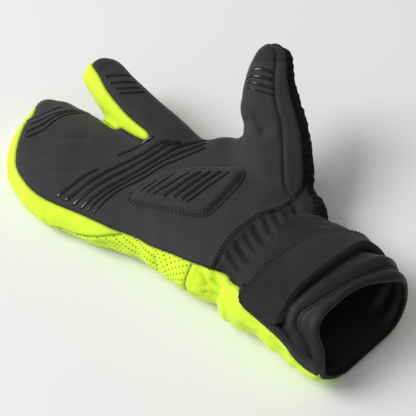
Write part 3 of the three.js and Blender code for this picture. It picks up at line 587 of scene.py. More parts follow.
class Shell(Surface):
    """The sewn skin: one soft form with its seams given as fields that change sign there."""

    def __init__(self, voxel, wall):
        self.wall = wall
        self.grow(voxel)
        self.find_seams()
        self.fold_cloth()
        super().__init__(self.points.tolist(), self.faces.tolist())
        self.cut_up()

    def grow(self, voxel):
        hand = np.concatenate((np.linspace(-HAND_LENGTH, -176, 28), np.linspace(-174, 106, 141)))
        around = np.arange(0, 360, 3.0)
        forms = [
            tube(body_points(hand[:, None], around[None, :])),
            tube(INDEX.points(np.linspace(0, 1, 90)[:, None], np.arange(0, 360, 6.0)[None, :])),
            tube(THUMB.points(np.linspace(0, 1, 90)[:, None], np.arange(0, 360, 6.0)[None, :])),
        ] + [lump(*row) for row in LUMPS]
        points, faces = [], []
        for form, sides in forms:
            sides = turned_out(form, sides)
            faces += [tuple(int(k) + len(points) for k in face) for face in sides]
            points += form.tolist()
        mesh = bpy.data.meshes.new("skin_form")
        mesh.from_pydata(points, [], faces)
        form = bpy.data.objects.new("skin_form", mesh)
        bpy.context.scene.collection.objects.link(form)
        remesh = form.modifiers.new("even_skin", "REMESH")
        remesh.mode = "VOXEL"
        remesh.voxel_size = voxel
        bpy.ops.object.select_all(action="DESELECT")
        form.select_set(True)
        bpy.context.view_layer.objects.active = form
        bpy.ops.object.modifier_apply(modifier="even_skin")
        skin = form.data
        skin.calc_loop_triangles()
        self.points = np.empty(len(skin.vertices) * 3)
        skin.vertices.foreach_get("co", self.points)
        self.points = self.points.reshape(-1, 3)
        self.faces = np.empty(len(skin.loop_triangles) * 3, np.int64)
        skin.loop_triangles.foreach_get("vertices", self.faces)
        self.faces = self.faces.reshape(-1, 3)
        bpy.data.objects.remove(form)
        edges = edges_of(self.faces)[0]
        off_body, off_index, off_thumb = map(np.abs, self.distances())
        web = np.exp(-((off_body + off_index) / 7) ** 2) + np.exp(-((off_body + off_thumb) / 9) ** 2)
        self.points = relaxed(self.points, edges, 8, 0.5)
        self.points = relaxed(self.points, edges, 96, 0.6 * np.clip(web, 0, 1))
        self.edges = edges

    def distances(self):
        return body_place(self.points)[2], INDEX.place(self.points)[2], THUMB.place(self.points)[2]

    def find_seams(self):
        points = self.points
        at, angle, off_body = body_place(points)
        along_index, index_angle, off_index, index_size = INDEX.place(points)
        along_thumb, thumb_angle, off_thumb, thumb_size = THUMB.place(points)
        self.at, self.angle = at, angle
        half = BODY("half", at)
        thick = (BODY("high", at) - BODY("low", at)) / 2
        size = (half + thick) / 2
        turned = np.where(angle < -100, angle + 360, angle)
        turned_thumb = np.where(thumb_angle < -20, thumb_angle + 360, thumb_angle)
        ulnar, radial, band = (SEAMS(key, at) for key in ("ulnar", "radial", "band"))
        per_degree = np.radians(1.0)
        on_body = np.minimum(turned - radial, ulnar - turned) * size * per_degree
        on_body = np.minimum(on_body, points[:, 0] - PALM_START)
        yellow = INDEX_YELLOW("angle", along_index)
        on_index = np.minimum(index_angle - INDEX_PALM, yellow - index_angle) * index_size * per_degree
        on_index = np.minimum(on_index, (INDEX_TIP_BAND - along_index) * INDEX.length)
        flank = 5.0 * np.clip((0.705 - along_index) / 0.14, 0, 1) * np.clip((points[:, 2] - 14) / 5, 0, 1)
        on_index = np.maximum(on_index, np.where(index_angle > 90, flank - off_body, -99.0))
        on_thumb = np.minimum(turned_thumb - THUMB_PALM[0], THUMB_PALM[1] - turned_thumb)
        on_thumb = on_thumb * thumb_size * per_degree
        weights = np.exp(-np.maximum(np.stack((off_body, off_index, off_thumb)), 0) / 1.0)
        weights /= weights.sum(0)
        palm = (np.stack((on_body, on_index, on_thumb)) * weights).sum(0)
        wristward = points[:, 0] - WRIST_SEAM("along", points[:, 1])
        index = np.minimum(off_body, off_thumb) - off_index
        thumb = np.minimum(off_body, off_index) - off_thumb
        side = (thumb_angle - THUMB_SIDE) * thumb_size * per_degree
        upper = np.minimum(turned - ulnar, band - turned)
        lower = np.minimum(turned - RADIAL_BAND, radial - turned)
        edge = np.maximum(upper, lower) * size * per_degree
        edge = np.minimum(edge, BAND_END - at)
        edge = np.maximum(edge, TIP_BAND - points[:, 0])
        fleece = np.minimum(WRIST_TERRY[1] - turned, turned - WRIST_TERRY[0]) * size * per_degree
        fields = np.stack((
            palm, wristward, on_body, index, thumb, side, fleece, edge,
            at - BACK_SEAM, at - CUFF_LINES("gather", angle), CUFF_LINES("rim", angle) * CUFF_LENGTH - at,
        ), -1)
        self.fields = relaxed(fields, self.edges, 11, 0.5)
        beyond = np.maximum(
            (along_index - TOUCH_START[0]) * INDEX.length - 40.0 * (off_index > 3),
            (along_thumb - TOUCH_START[1]) * THUMB.length - 40.0 * (off_thumb > 3),
        )
        self.touch = np.clip(beyond / 2.0 + 0.5, 0, 1)

    def fold_cloth(self):
        normals = normals_of(self.points, self.faces)
        points = self.points
        above = np.clip((points[:, 2] - 3.0) / 6.0, 0, 1)
        move = 0.55 * ripple(points, 46.0, 11) + 0.22 * ripple(points, 17.0, 12)
        # fold_depth also gives the painted shade of the folds.
        depth, self.painted_crease_shade = fold_depth(points)
        move = move - depth
        gather, lines = wrist_gathers(self.at, self.angle, points)
        roll = cuff_roll(self.at, self.angle)
        wrist_back = np.exp(-((self.at - 2) / 16) ** 2) * (np.abs(self.angle) > 140) * (self.angle > 0)
        wrinkle = ripple(points * np.array((1.7, 1, 1)), 26.0, 21)
        move += gather + roll + wrist_back * 1.9 * (np.abs(wrinkle) - 0.7)
        # Painted shade in the valleys of the wrist gathers and the wrist wrinkles, added to the painted
        # crease shade.
        painted_wrinkle_shade = wrist_back * np.exp(-(wrinkle / 0.16) ** 2)
        self.painted_crease_shade = np.maximum(self.painted_crease_shade, np.maximum(0.8 * lines, 0.6 * painted_wrinkle_shade))
        palm, wristward, _, _, thumb, side, fleece = self.fields[:, :7].T
        loops = np.clip(np.maximum(np.minimum(thumb, -side), np.minimum(wristward, fleece)), 0, 1)
        loops *= np.clip(-palm * (wristward < 0) + 2.0 * (wristward > 0), 0, 1) * (self.at < 24.0)
        move += loops * (0.28 * ripple(points, 5.0, 41) + 0.2 * ripple(points, 9.0, 42))
        self.points = points + normals * (move * above)[:, None]
        self.normals = normals_of(self.points, self.faces)

    def cut_up(self):
        data = np.concatenate((
            self.points, self.normals, self.at[:, None], self.angle[:, None], self.touch[:, None],
            self.painted_crease_shade[:, None], self.fields,
        ), axis=1)
        faces = self.faces
        first = data.shape[1] - self.fields.shape[1]
        for k in range(self.fields.shape[1]):
            data, faces = split_along(data, faces, first + k)
        middle = data[faces].mean(1)[:, first:]
        signs = (middle > 0).T
        palm, wristward, on_body, index, thumb, side, fleece, edge, after_back, after_gather, in_mouth = signs
        names = np.full(len(faces), "back_panel", dtype=object)
        names[edge] = "mitten_side"
        names[after_back] = "wrist_back"
        names[index] = "index_side"
        names[thumb & ~side] = "thumb_terry"
        names[thumb & side] = "thumb_side"
        names[palm] = "palm_panel"
        names[wristward & on_body] = "wrist_gathers"
        names[wristward & ~on_body & ~thumb] = "wrist_back"
        names[wristward & fleece] = "thumb_terry"
        names[after_gather] = "inner_cuff"
        names[~in_mouth] = ""
        self.data, self.pieces = data, {
            name: faces[names == name] for name in sorted(set(names) - {""})
        }
        self.seam_groove()

    def seam_groove(self):
        """Turns the cloth in along every seam, where two panels or an open end meet, and paints shade along
        it.
        """
        borders = set()
        for faces in self.pieces.values():
            pairs, uses = edges_of(faces)
            borders.update(np.unique(pairs[uses == 1]).tolist())
        borders = sorted(borders)
        tree = KDTree(len(borders))
        for place, k in enumerate(borders):
            tree.insert(self.data[k, :3], place)
        tree.balance()
        used = np.unique(np.concatenate([faces.ravel() for faces in self.pieces.values()]))
        away = np.full(len(self.data), 9.0)
        for k in used:
            away[k] = tree.find(self.data[k, :3])[2]
        at, angle = self.data[:, 6], self.data[:, 7]
        covered = (at > 8) & (at < 50) & (angle > 76) & (angle < 128)
        away[covered] = 9.0
        sink = 0.95 * np.exp(-((away / 1.1) ** 2)) - 0.14 * np.exp(-(((away - 3.4) / 1.9) ** 2))
        lying = np.clip((self.data[:, 2] - 0.4) / 2.0, 0, 1)
        self.data[:, :3] -= self.data[:, 3:6] * (sink * lying)[:, None]
        # Painted shade along every seam: the painted crease shade is darkest where the cloth turns in.
        self.data[:, 9] = np.maximum(self.data[:, 9] * 0.6, np.exp(-(away / 0.9) ** 2))

    def panel(self, name):
        """One panel as a closed cloth of the wall's thickness, with its texture places."""
        faces = self.pieces[name]
        used, faces = np.unique(faces, return_inverse=True)
        faces = faces.reshape(-1, 3)
        data = self.data[used]
        outer, normals = data[:, :3], data[:, 3:6]
        count = len(outer)
        inner = outer - normals * self.wall
        inner[:, 2] = np.maximum(inner[:, 2], 0.05)
        halves = np.concatenate((faces[:, (0, 1)], faces[:, (1, 2)], faces[:, (2, 0)]))
        keys = np.sort(halves, axis=1)
        _, where, uses = np.unique(keys, axis=0, return_inverse=True, return_counts=True)
        rim = halves[uses[where.ravel()] == 1]
        sides = np.concatenate((
            np.stack((rim[:, 1], rim[:, 0], rim[:, 0] + count), -1),
            np.stack((rim[:, 1], rim[:, 0] + count, rim[:, 1] + count), -1),
        ))
        whole = np.concatenate((faces, faces[:, ::-1] + count, sides))
        extra = np.concatenate((data[:, 6:10], data[:, 6:10]))
        return np.concatenate((outer, inner)), whole, extra


def split_along(data, faces, column):
    """Triangles cut where one column of their corners' data changes sign."""
    field = data[:, column]
    above = field[faces] > 0
    count = above.sum(1)
    mixed = (count == 1) | (count == 2)
    if not mixed.any():
        return data, faces
    cut, flags = faces[mixed], above[mixed]
    lone = np.where(flags.sum(1) == 1, flags.argmax(1), (~flags).argmax(1))
    rows = np.arange(len(cut))
    a, b, c = cut[rows, lone], cut[rows, (lone + 1) % 3], cut[rows, (lone + 2) % 3]
    pairs = np.sort(np.concatenate((np.stack((a, b), -1), np.stack((a, c), -1))), axis=1)
    unique, where = np.unique(pairs, axis=0, return_inverse=True)
    where = where.ravel() + len(data)
    start, end = data[unique[:, 0]], data[unique[:, 1]]
    share = start[:, column] / (start[:, column] - end[:, column])
    share = np.clip(share, 0.04, 0.96)[:, None]
    added = start * (1 - share) + end * share
    ab, ac = where[:len(cut)], where[len(cut):]
    parts = np.concatenate((
        np.stack((a, ab, ac), -1), np.stack((ab, b, c), -1), np.stack((ab, c, ac), -1),
    ))
    return np.concatenate((data, added)), np.concatenate((faces[~mixed], parts))


def smooth_path(corners, count):
    """Evenly spaced points on a curve through the corners."""
    corners = np.array(corners, float)
    run = run_along(corners)
    at = np.linspace(0, run[-1], count)
    tables = [Table("at value", list(zip(run, corners[:, k]))) for k in range(corners.shape[1])]
    return np.stack([table("value", at) for table in tables], -1)


def place(points):
    return (np.asarray(points) + ORIGIN) * MM


def add_piece(name, points, faces, finish, nodes=(), places=None, marks=None):
    """A finished piece in the shared frame, riding on the part's one body."""
    mesh = bpy.data.meshes.new(name)
    faces = faces.tolist() if isinstance(faces, np.ndarray) else faces
    mesh.from_pydata(place(points).tolist(), [], faces)
    mesh.shade_smooth()
    if places is not None:
        corners = np.empty(len(mesh.loops), np.int64)
        mesh.loops.foreach_get("vertex_index", corners)
        layer = mesh.uv_layers.new(name="cloth_place")
        layer.uv.foreach_set("vector", places[corners].astype(np.float32).ravel())
    for mark, values in (marks or {}).items():
        mesh.attributes.new(mark, "FLOAT", "POINT").data.foreach_set("value", values.astype(np.float32))
    mesh.materials.append(finish)
    piece = bpy.data.objects.new(name, mesh)
    bpy.context.scene.collection.objects.link(piece)
    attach(piece, "root")
    if nodes:
        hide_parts(*nodes)
    return piece


def girth_places(at, angle):
    """Texture places in metres: along the glove, and round its section from the back's middle line."""
    step = 3.0
    stations = np.linspace(-HAND_LENGTH, CUFF_LENGTH, 120)
    angles = np.arange(-180, 541, step)
    rings = body_points(stations[:, None], angles[None, :])
    steps = np.linalg.norm(np.diff(rings, axis=1), axis=2)
    length = np.concatenate((np.zeros((len(stations), 1)), np.cumsum(steps, axis=1)), axis=1)
    turned = np.where(angle < -100, angle + 360, angle)
    i = np.clip(np.searchsorted(stations, at) - 1, 0, len(stations) - 2)
    share = np.clip((at - stations[i]) / (stations[i + 1] - stations[i]), 0, 1)
    column = (turned + 180) / step
    j = np.clip(column.astype(int), 0, len(angles) - 2)
    rest = column - j
    upper = length[i, j] * (1 - rest) + length[i, j + 1] * rest
    lower = length[i + 1, j] * (1 - rest) + length[i + 1, j + 1] * rest
    return np.stack((at, upper * (1 - share) + lower * share), -1) * MM


class Wire:
    """A shader socket with arithmetic: each operator adds a Math node."""

    def __init__(self, finish, socket):
        self.finish, self.socket = finish, socket

    def math(self, operation, *others):
        node = self.finish.tree.nodes.new("ShaderNodeMath")
        node.operation = operation
        for socket, value in zip(node.inputs, (self, *others)):
            self.finish.set(socket, value)
        return Wire(self.finish, node.outputs[0])

    def __add__(self, other):
        return self.math("ADD", other)

    def __mul__(self, other):
        return self.math("MULTIPLY", other)

    __radd__, __rmul__ = __add__, __mul__

    def __sub__(self, other):
        return self.math("SUBTRACT", other)

    def __rsub__(self, other):
        return (self * -1.0) + other

    def __truediv__(self, other):
        return self.math("DIVIDE", other)


class Finish:
    """One procedural material: its shader and the nodes that feed it."""

    def __init__(self, name, **constants):
        self.material = bpy.data.materials.new(name)
        self.material.use_nodes = True
        self.tree = self.material.node_tree
        self.shader = next(node for node in self.tree.nodes if node.type == "BSDF_PRINCIPLED")
        for socket, value in constants.items():
            self.shader.inputs[socket.replace("_", " ")].default_value = value

    def set(self, socket, value):
        if isinstance(value, Wire):
            self.tree.links.new(value.socket, socket)
        else:
            socket.default_value = value

    def node(self, kind, output=0, settings=None, **values):
        node = self.tree.nodes.new("ShaderNode" + kind)
        for key, value in (settings or {}).items():
            setattr(node, key, value)
        for key, value in values.items():
            self.set(node.inputs[key.replace("_", " ")], value)
        return Wire(self, node.outputs[output])

    def place(self):
        return self.node("TexCoord", "Object")

    def cloth_place(self):
        return self.node("UVMap", settings={"uv_map": "cloth_place"})

    def noise(self, vector, scale, detail=2.0, roughness=0.55):
        return self.node("TexNoise", 0, Vector=vector, Scale=scale, Detail=detail, Roughness=roughness)

    def range(self, value, low, high):
        smooth = {"interpolation_type": "SMOOTHSTEP"}
        return self.node("MapRange", 0, settings=smooth, Value=value, From_Min=low, From_Max=high)

    def cells(self, vector, scale, smoothness):
        soft = {"feature": "SMOOTH_F1"}
        return self.node("TexVoronoi", 0, settings=soft, Vector=vector, Scale=scale, Smoothness=smoothness)

    def mix(self, share, first, second):
        node = self.tree.nodes.new("ShaderNodeMix")
        node.data_type = "RGBA"
        self.set(node.inputs["Factor"], share)
        self.set(node.inputs[6], first)
        self.set(node.inputs[7], second)
        return Wire(self, node.outputs[2])

    def bump(self, height, strength, distance):
        return self.node("Bump", 0, Strength=strength, Distance=distance, Height=height)

    def with_painted_crease_shade(self, cloth, colour):
        """Cloth with painted shade along its seams and in its folds."""
        # Painted shade: the colour darkens in folds and along seams.
        painted_crease_shade = self.node("Attribute", 2, settings={"attribute_name": "painted_crease_shade"})
        return self.mix(painted_crease_shade * 0.8, cloth, tint(colour, 0.22))

    def feed(self, **sockets):
        for socket, value in sockets.items():
            self.set(self.shader.inputs[socket.replace("_", " ")], value)
        return self.material


def tint(colour, factor):
    return tuple(min(channel * factor, 1.0) for channel in colour[:3]) + (1.0,)


def softshell(name, colour, roughness, sheen, touch_colour=None):
    """Smooth stretch cloth with a fine knitted grain, darker where the finger tips work a screen, with
    painted shade in its folds and along its seams.
    """
    finish = Finish(name, Sheen_Weight=sheen, Sheen_Roughness=0.5, Specular_IOR_Level=0.3)
    spot = finish.place()
    grain = finish.noise(spot, 1500.0, 2.0)
    broad = finish.noise(spot, 45.0, 3.0)
    knit = finish.cells(spot, 1100.0, 0.4)
    shade = finish.range(grain * 0.6 + broad * 0.4, 0.3, 0.7)
    cloth = finish.mix(shade, tint(colour, 0.82), tint(colour, 1.14))
    if touch_colour:
        touch = finish.node("Attribute", 2, settings={"attribute_name": "touch"})
        cloth = finish.mix(touch, cloth, touch_colour)
    return finish.feed(
        Base_Color=finish.with_painted_crease_shade(cloth, colour),
        Roughness=finish.range(broad, 0.2, 0.8) * 0.1 + (roughness - 0.05),
        Normal=finish.bump(knit * 0.7 + grain * 0.5, 0.35, 0.0003),
    )


def perforated(name, colour, hole_colour, pitch):
    """Yellow softshell with small dark holes in staggered rows, with painted shade in its folds and along its
    seams.
    """
    finish = Finish(name, Sheen_Weight=0.1, Specular_IOR_Level=0.3)
    spot = finish.cloth_place()
    split = finish.node("SeparateXYZ", 0, Vector=spot)
    across = Wire(finish, split.socket.node.outputs[1])
    rows = across / (pitch * 0.58)
    row = rows.math("FLOOR")
    odd = row.math("FLOORED_MODULO", 2.0)
    column = split / pitch + odd * 0.5
    u = column.math("FRACT") - 0.5
    v = (rows.math("FRACT") - 0.5) * 0.58
    away = (u * u + v * v).math("SQRT")
    hole = 1.0 - finish.range(away, 0.09, 0.17)
    broad = finish.noise(finish.place(), 45.0, 3.0)
    cloth = finish.mix(broad, tint(colour, 0.86), tint(colour, 1.1))
    grain = finish.noise(finish.place(), 1500.0, 2.0)
    return finish.feed(
        Base_Color=finish.with_painted_crease_shade(finish.mix(hole * 0.92, cloth, hole_colour), colour),
        Roughness=0.75,
        Normal=finish.bump(grain * 0.4 - hole * 2.0, 0.5, 0.0004),
    )


def terry(name, colour):
    """Fleecy loops."""
    finish = Finish(name, Sheen_Weight=0.04, Sheen_Roughness=0.5, Specular_IOR_Level=0.06)
    spot = finish.place()
    loops = finish.cells(spot, 620.0, 0.5)
    curl = finish.noise(spot, 900.0, 4.0, 0.7)
    depth = finish.range(loops + curl * 0.4, 0.3, 1.1)
    return finish.feed(
        Base_Color=finish.mix(depth, tint(colour, 1.6), tint(colour, 0.4)),
        Roughness=0.95,
        Normal=finish.bump(curl - loops, 0.9, 0.0012),
    )


def suede(name, colour):
    """Brushed synthetic suede with a short nap."""
    finish = Finish(name, Sheen_Weight=0.08, Sheen_Roughness=0.6, Specular_IOR_Level=0.15)
    spot = finish.place()
    nap = finish.noise(spot, 700.0, 5.0, 0.7)
    patches = finish.noise(spot, 60.0, 3.0)
    brushed = finish.range(nap * 0.5 + patches * 0.5, 0.32, 0.68)
    return finish.feed(
        Base_Color=finish.mix(brushed, tint(colour, 0.7), tint(colour, 1.3)),
        Roughness=0.92,
        Normal=finish.bump(nap, 0.4, 0.0004),
    )


def silicone(name, colour):
    """Glossy printed silicone."""
    finish = Finish(name, Specular_IOR_Level=0.4)
    spot = finish.place()
    wave = finish.noise(spot, 180.0, 2.0)
    return finish.feed(
        Base_Color=finish.mix(wave, tint(colour, 0.8), tint(colour, 1.3)),
        Roughness=finish.range(wave, 0.3, 0.7) * 0.1 + 0.14,
        Normal=finish.bump(wave, 0.15, 0.0006),
    )


def thread(name, colour):
    finish = Finish(name, Sheen_Weight=0.02, Specular_IOR_Level=0.15)
    spot = finish.place()
    twist = finish.noise(spot, 2400.0, 2.0)
    return finish.feed(
        Base_Color=finish.mix(twist, tint(colour, 0.7), tint(colour, 1.3)),
        Roughness=0.7,
        Normal=finish.bump(twist, 0.4, 0.0002),
    )


class GloveSettings(PropertyGroup):
    voxel: FloatProperty(
        name="Skin step", description="Size of the even steps of the sewn skin, in millimetres",
        default=1.15, min=0.8, max=4.0,
    )
    wall: FloatProperty(
        name="Cloth thickness", description="Thickness of the padded cloth, in millimetres",
        default=2.6, min=0.5, max=4.0,
    )
    gauntlet_height: FloatProperty(
        name="Gauntlet height", description="How far the gauntlet stands off the cuff, in millimetres",
        default=2.4,
    )
    strap_height: FloatProperty(
        name="Strap height", description="How far the strap stands off the cuff, in millimetres", default=3.7,
    )
    stripe_height: FloatProperty(
        name="Stripe height", description="Height of a grip stripe, in millimetres", default=0.7,
    )
    pad_height: FloatProperty(
        name="Pad height", description="Height of the padded drop, in millimetres", default=3.3,
    )
    stitch_pitch: FloatProperty(
        name="Stitch pitch", description="Distance from stitch to stitch, in millimetres", default=2.7,
    )
    hole_pitch: FloatProperty(
        name="Hole pitch", description="Distance between perforations, in millimetres", default=4.5,
    )
    black: FloatVectorProperty(
        name="Black cloth", description="Colour of the black softshell", subtype="COLOR", size=4,
        default=(0.026, 0.026, 0.028, 1.0),
    )
    yellow: FloatVectorProperty(
        name="Yellow cloth", description="Colour of the fluorescent softshell", subtype="COLOR", size=4,
        default=(0.66, 0.93, 0.026, 1.0),
    )
    strap_black: FloatVectorProperty(
        name="Strap", description="Colour of the brushed strap", subtype="COLOR", size=4,
        default=(0.016, 0.016, 0.0165, 1.0),
    )
    silicone_black: FloatVectorProperty(
        name="Silicone", description="Colour of the grip stripes", subtype="COLOR", size=4,
        default=(0.004, 0.004, 0.0045, 1.0),
    )


shop = {}


def settings():
    return bpy.context.scene.glove_settings


def shell():
    """The sewn skin, grown once."""
    if "shell" not in shop:
        shop["shell"] = Shell(settings().voxel, settings().wall)
    return shop["shell"]


def finish_of(name):
    """A material of this glove, made the first time it is asked for."""
    if name not in shop:
        choice = settings()
        black = tuple(choice.black)
        makers = {
            "black_cloth": lambda: softshell("black_cloth", black, 0.78, 0.12, tint(black, 0.5)),
            # Gathered wrist: a darker copy of the black cloth, painted shade of its puckered folds.
            "gather_cloth_painted_shade": lambda: softshell("gather_cloth_painted_shade", tint(black, 0.58), 0.75, 0.04),
            # Inner cuff: a darker copy of the black cloth, painted shade of the cuff's inside under the
            # strap.
            "cuff_cloth_painted_shade": lambda: softshell("cuff_cloth_painted_shade", tint(black, 0.42), 0.6, 0.04),
            "binding_tape": lambda: softshell("binding_tape", (0.015, 0.018, 0.019, 1.0), 0.65, 0.06),
            "yellow_cloth": lambda: softshell("yellow_cloth", tuple(choice.yellow), 0.7, 0.1),
            "perforated_cloth": lambda: perforated(
                "perforated_cloth", tuple(choice.yellow), (0.10, 0.15, 0.012, 1), choice.hole_pitch * MM),
            "terry_cloth": lambda: terry("terry_cloth", tint(black, 0.2)),
            "strap_suede": lambda: suede("strap_suede", tuple(choice.strap_black)),
            "grip_silicone": lambda: silicone("grip_silicone", tuple(choice.silicone_black)),
            "black_thread": lambda: thread("black_thread", tint(black, 0.2)),
        }
        shop[name] = makers[name]()
    return shop[name]


def sew(name, finish):
    points, faces, extra = shell().panel(name)
    # The painted crease shade mark carries the painted shade of folds and seams to the cloth's colour.
    return add_piece(
        name + "_cloth", points, faces, finish_of(finish), (name,),
        girth_places(extra[:, 0], extra[:, 1]), {"touch": extra[:, 2], "painted_crease_shade": extra[:, 3]})


def layer(spots, low, high, roundness=2.2):
    """A closed sheet laid on the body: its height falls off round its edge.

    spots(u, v, height) gives points for shares along and across it.
    """
    rows = np.linspace(0, 1, spots.rows + 1)
    columns = np.linspace(0, 1, spots.columns + 1)
    near_edge = 0.5 - 0.5 * np.cos(np.pi * rows)
    rows = near_edge * spots.bunched + rows * (1 - spots.bunched)
    near_edge = 0.5 - 0.5 * np.cos(np.pi * columns)
    columns = near_edge * spots.bunched + columns * (1 - spots.bunched)
    u, v = np.meshgrid(rows, columns, indexing="ij")
    flat = spots.at(u, v, np.full(u.shape, high))
    run = np.minimum(edge_run(flat, 0), edge_run(flat, 1))
    share = 1 - np.minimum(run / roundness, 1)
    height = low + 0.3 + (high - low - 0.3) * np.sqrt(1 - share * share)
    top = spots.at(u, v, height)
    bottom = spots.at(u, v, np.full(u.shape, low))
    return close_sheet(top, bottom)


def edge_run(grid, axis):
    """Distance of each point of a grid from the grid's nearer edge along one axis."""
    steps = np.linalg.norm(np.diff(grid, axis=axis), axis=2)
    zero = np.zeros_like(np.take(steps, [0], axis=axis))
    run = np.concatenate((zero, np.cumsum(steps, axis=axis)), axis=axis)
    return np.minimum(run, np.take(run, [-1], axis=axis) - run)


def close_sheet(top, bottom):
    rows, columns = top.shape[:2]
    points = np.concatenate((top.reshape(-1, 3), bottom.reshape(-1, 3)))
    number = np.arange(rows * columns).reshape(rows, columns)
    under = number + rows * columns
    quads = [
        np.stack((number[:-1, :-1], number[:-1, 1:], number[1:, 1:], number[1:, :-1]), -1).reshape(-1, 4),
        np.stack((under[:-1, :-1], under[1:, :-1], under[1:, 1:], under[:-1, 1:]), -1).reshape(-1, 4),
    ]
    for line, below in ((number[0], under[0]), (number[:, -1], under[:, -1])):
        quads.append(np.stack((line[1:], line[:-1], below[:-1], below[1:]), -1))
    for line, below in ((number[-1], under[-1]), (number[:, 0], under[:, 0])):
        quads.append(np.stack((line[:-1], line[1:], below[1:], below[:-1]), -1))
    faces = [tuple(map(int, face)) for face in np.concatenate(quads)]
    return points, turned_out(points, faces)


class Spots:
    """Where a layer lies: a function of two shares and a height, with its step counts."""

    def __init__(self, at, rows, columns, bunched=0.6):
        self.at, self.rows, self.columns, self.bunched = at, rows, columns, bunched


def gauntlet_spot(u, v, height):
    along = GAUNTLET_ALONG[0] + GAUNTLET_ALONG[1] * u
    edge = GAUNTLET_EDGE("edge", along)
    angle = edge + (GAUNTLET_END - edge) * v
    points = body_points(along * CUFF_LENGTH, angle, height)
    return dented(points, along * CUFF_LENGTH)


def binding_spot(u, v, height):
    along = BINDING_ALONG[0] + BINDING_ALONG[1] * u
    angle = GAUNTLET_EDGE("edge", along) - BINDING_ANGLE * v
    return body_points(along * CUFF_LENGTH, angle, height)


def strap_spot(u, v, height):
    angle = STRAP_START + (STRAP_END - STRAP_START) * u
    near, far = STRAP("near", angle), STRAP("far", angle)
    return body_points((near + (far - near) * v) * CUFF_LENGTH, angle, height)


def strap_share(shares, inset):
    """The share across the strap that lies an inset in from its near edge."""
    angle = STRAP_START + (STRAP_END - STRAP_START) * shares
    return inset / ((STRAP("far", angle) - STRAP("near", angle)) * CUFF_LENGTH)


def dented(points, at):
    """Soft dents of the gauntlet, pressed towards the middle of the cuff."""
    flat = points.reshape(-1, 3)
    middle = body_points(at, 0, 0).reshape(-1, 3) * 0.5 + body_points(at, 180, 0).reshape(-1, 3) * 0.5
    middle[:, 2] = 30.0
    away = flat - middle
    away /= np.linalg.norm(away, axis=1, keepdims=True)
    above = np.clip((flat[:, 2] - 2) / 8, 0, 1)
    move = (0.7 * ripple(flat * np.array((1.8, 1, 1)), 30.0, 31) - fold_depth(flat)[0]) * above
    moved = flat + away * np.minimum(move, 0.6)[:, None]
    moved[:, 2] = np.maximum(moved[:, 2], 0.02)
    return moved.reshape(points.shape)


def ribbon(path, normals, width, height):
    """A low rounded bead along a path on a surface, tapered at both ends."""
    count = len(path)
    along = np.gradient(path, axis=0)
    along /= np.linalg.norm(along, axis=1, keepdims=True)
    side = np.cross(normals, along)
    side /= np.linalg.norm(side, axis=1, keepdims=True)
    up = np.cross(along, side)
    run = run_along(path)
    end = np.minimum(run, run[-1] - run)
    share = 1 - np.minimum(end / (width * 0.9), 1)
    taper = np.maximum(np.sqrt(1 - share * share), 0.15)
    rise = np.linspace(0, math.pi, 9)
    offset_side = np.concatenate((np.cos(rise) * width / 2, (-width / 2, width / 2)))
    offset_up = np.concatenate((np.sin(rise) * height, (-0.5, -0.5)))
    rings = (
        path[:, None] + side[:, None] * (offset_side[None, :] * taper[:, None])[..., None]
        + up[:, None] * (offset_up[None, :] * np.where(offset_up > 0, taper[:, None], 1))[..., None]
    )
    points, faces = tube(rings)
    return points, turned_out(points, faces)


def stripe(name, width, corners, nodes=(), height=None, surface=None, rounds=1):
    surface = surface or shell()
    height = height or settings().stripe_height
    length = run_along(np.array(corners))[-1]
    plan = smooth_path(corners, max(int(length / 1.2), 8))
    hits = [surface.onto(spot) for spot in plan]
    path = np.array([hit for hit, _ in hits])
    normals = relaxed_rows(np.array([normal for _, normal in hits]), 2 * rounds)
    path = relaxed_rows(path, rounds)
    points, faces = ribbon(path, normals, width, height)
    return add_piece(name, points, faces, finish_of("grip_silicone"), nodes)


def relaxed_rows(rows, rounds):
    rows = rows.copy()
    for _ in range(rounds):
        rows[1:-1] = (rows[:-2] + 2 * rows[1:-1] + rows[2:]) / 4
    return rows


def run_along(path):
    """Distances along a path from its start."""
    return np.concatenate(([0], np.cumsum(np.linalg.norm(np.diff(path, axis=0), axis=1))))


def between(place, run, rows):
    """A row read between given rows at a distance along their path."""
    return np.array([np.interp(place, run, rows[:, axis]) for axis in range(3)])


def stitches(name, lines, finish="black_thread", radius=0.32, share=0.72, sink=0.1):
    """Separate stitches along lines of (points, normals), each a small rounded bar."""
    pitch = settings().stitch_pitch
    sides, stations = 6, 5
    turn = np.arange(sides) * 2 * math.pi / sides
    profile = np.sin(np.linspace(0.25, math.pi - 0.25, stations))
    points, faces = [], []
    for path, normals in lines:
        run = run_along(path)
        count = max(int(run[-1] / pitch), 1)
        for k in range(count):
            middle = (k + 0.5) * run[-1] / count
            ends = [between(middle + shift * pitch * share / 2, run, path) for shift in (-1, 1)]
            normal = between(middle, run, normals)
            along = ends[1] - ends[0]
            length = np.linalg.norm(along)
            if length < 1e-6:
                continue
            side = np.cross(normal, along / length)
            side /= np.linalg.norm(side)
            up = np.cross(along / length, side)
            rings = np.array([
                ends[0] + along * (s / (stations - 1)) + up * (radius * (profile[s] * 0.9) - sink)
                + (np.cos(turn)[:, None] * side + np.sin(turn)[:, None] * up) * radius * profile[s]
                for s in range(stations)
            ])
            bar, sides_of_bar = tube(rings)
            faces += [tuple(c + len(points) for c in face) for face in turned_out(bar, sides_of_bar)]
            points += bar.tolist()
    return add_piece(name, np.array(points), faces, finish_of(finish))


def on_skin(plan, lift=0.0):
    """A line laid on the skin from its plan, with the skin's normals."""
    hits = [shell().onto(spot) for spot in plan]
    normals = relaxed_rows(np.array([normal for _, normal in hits]), 2)
    path = relaxed_rows(np.array([hit for hit, _ in hits]), 1) + normals * lift
    return path, normals


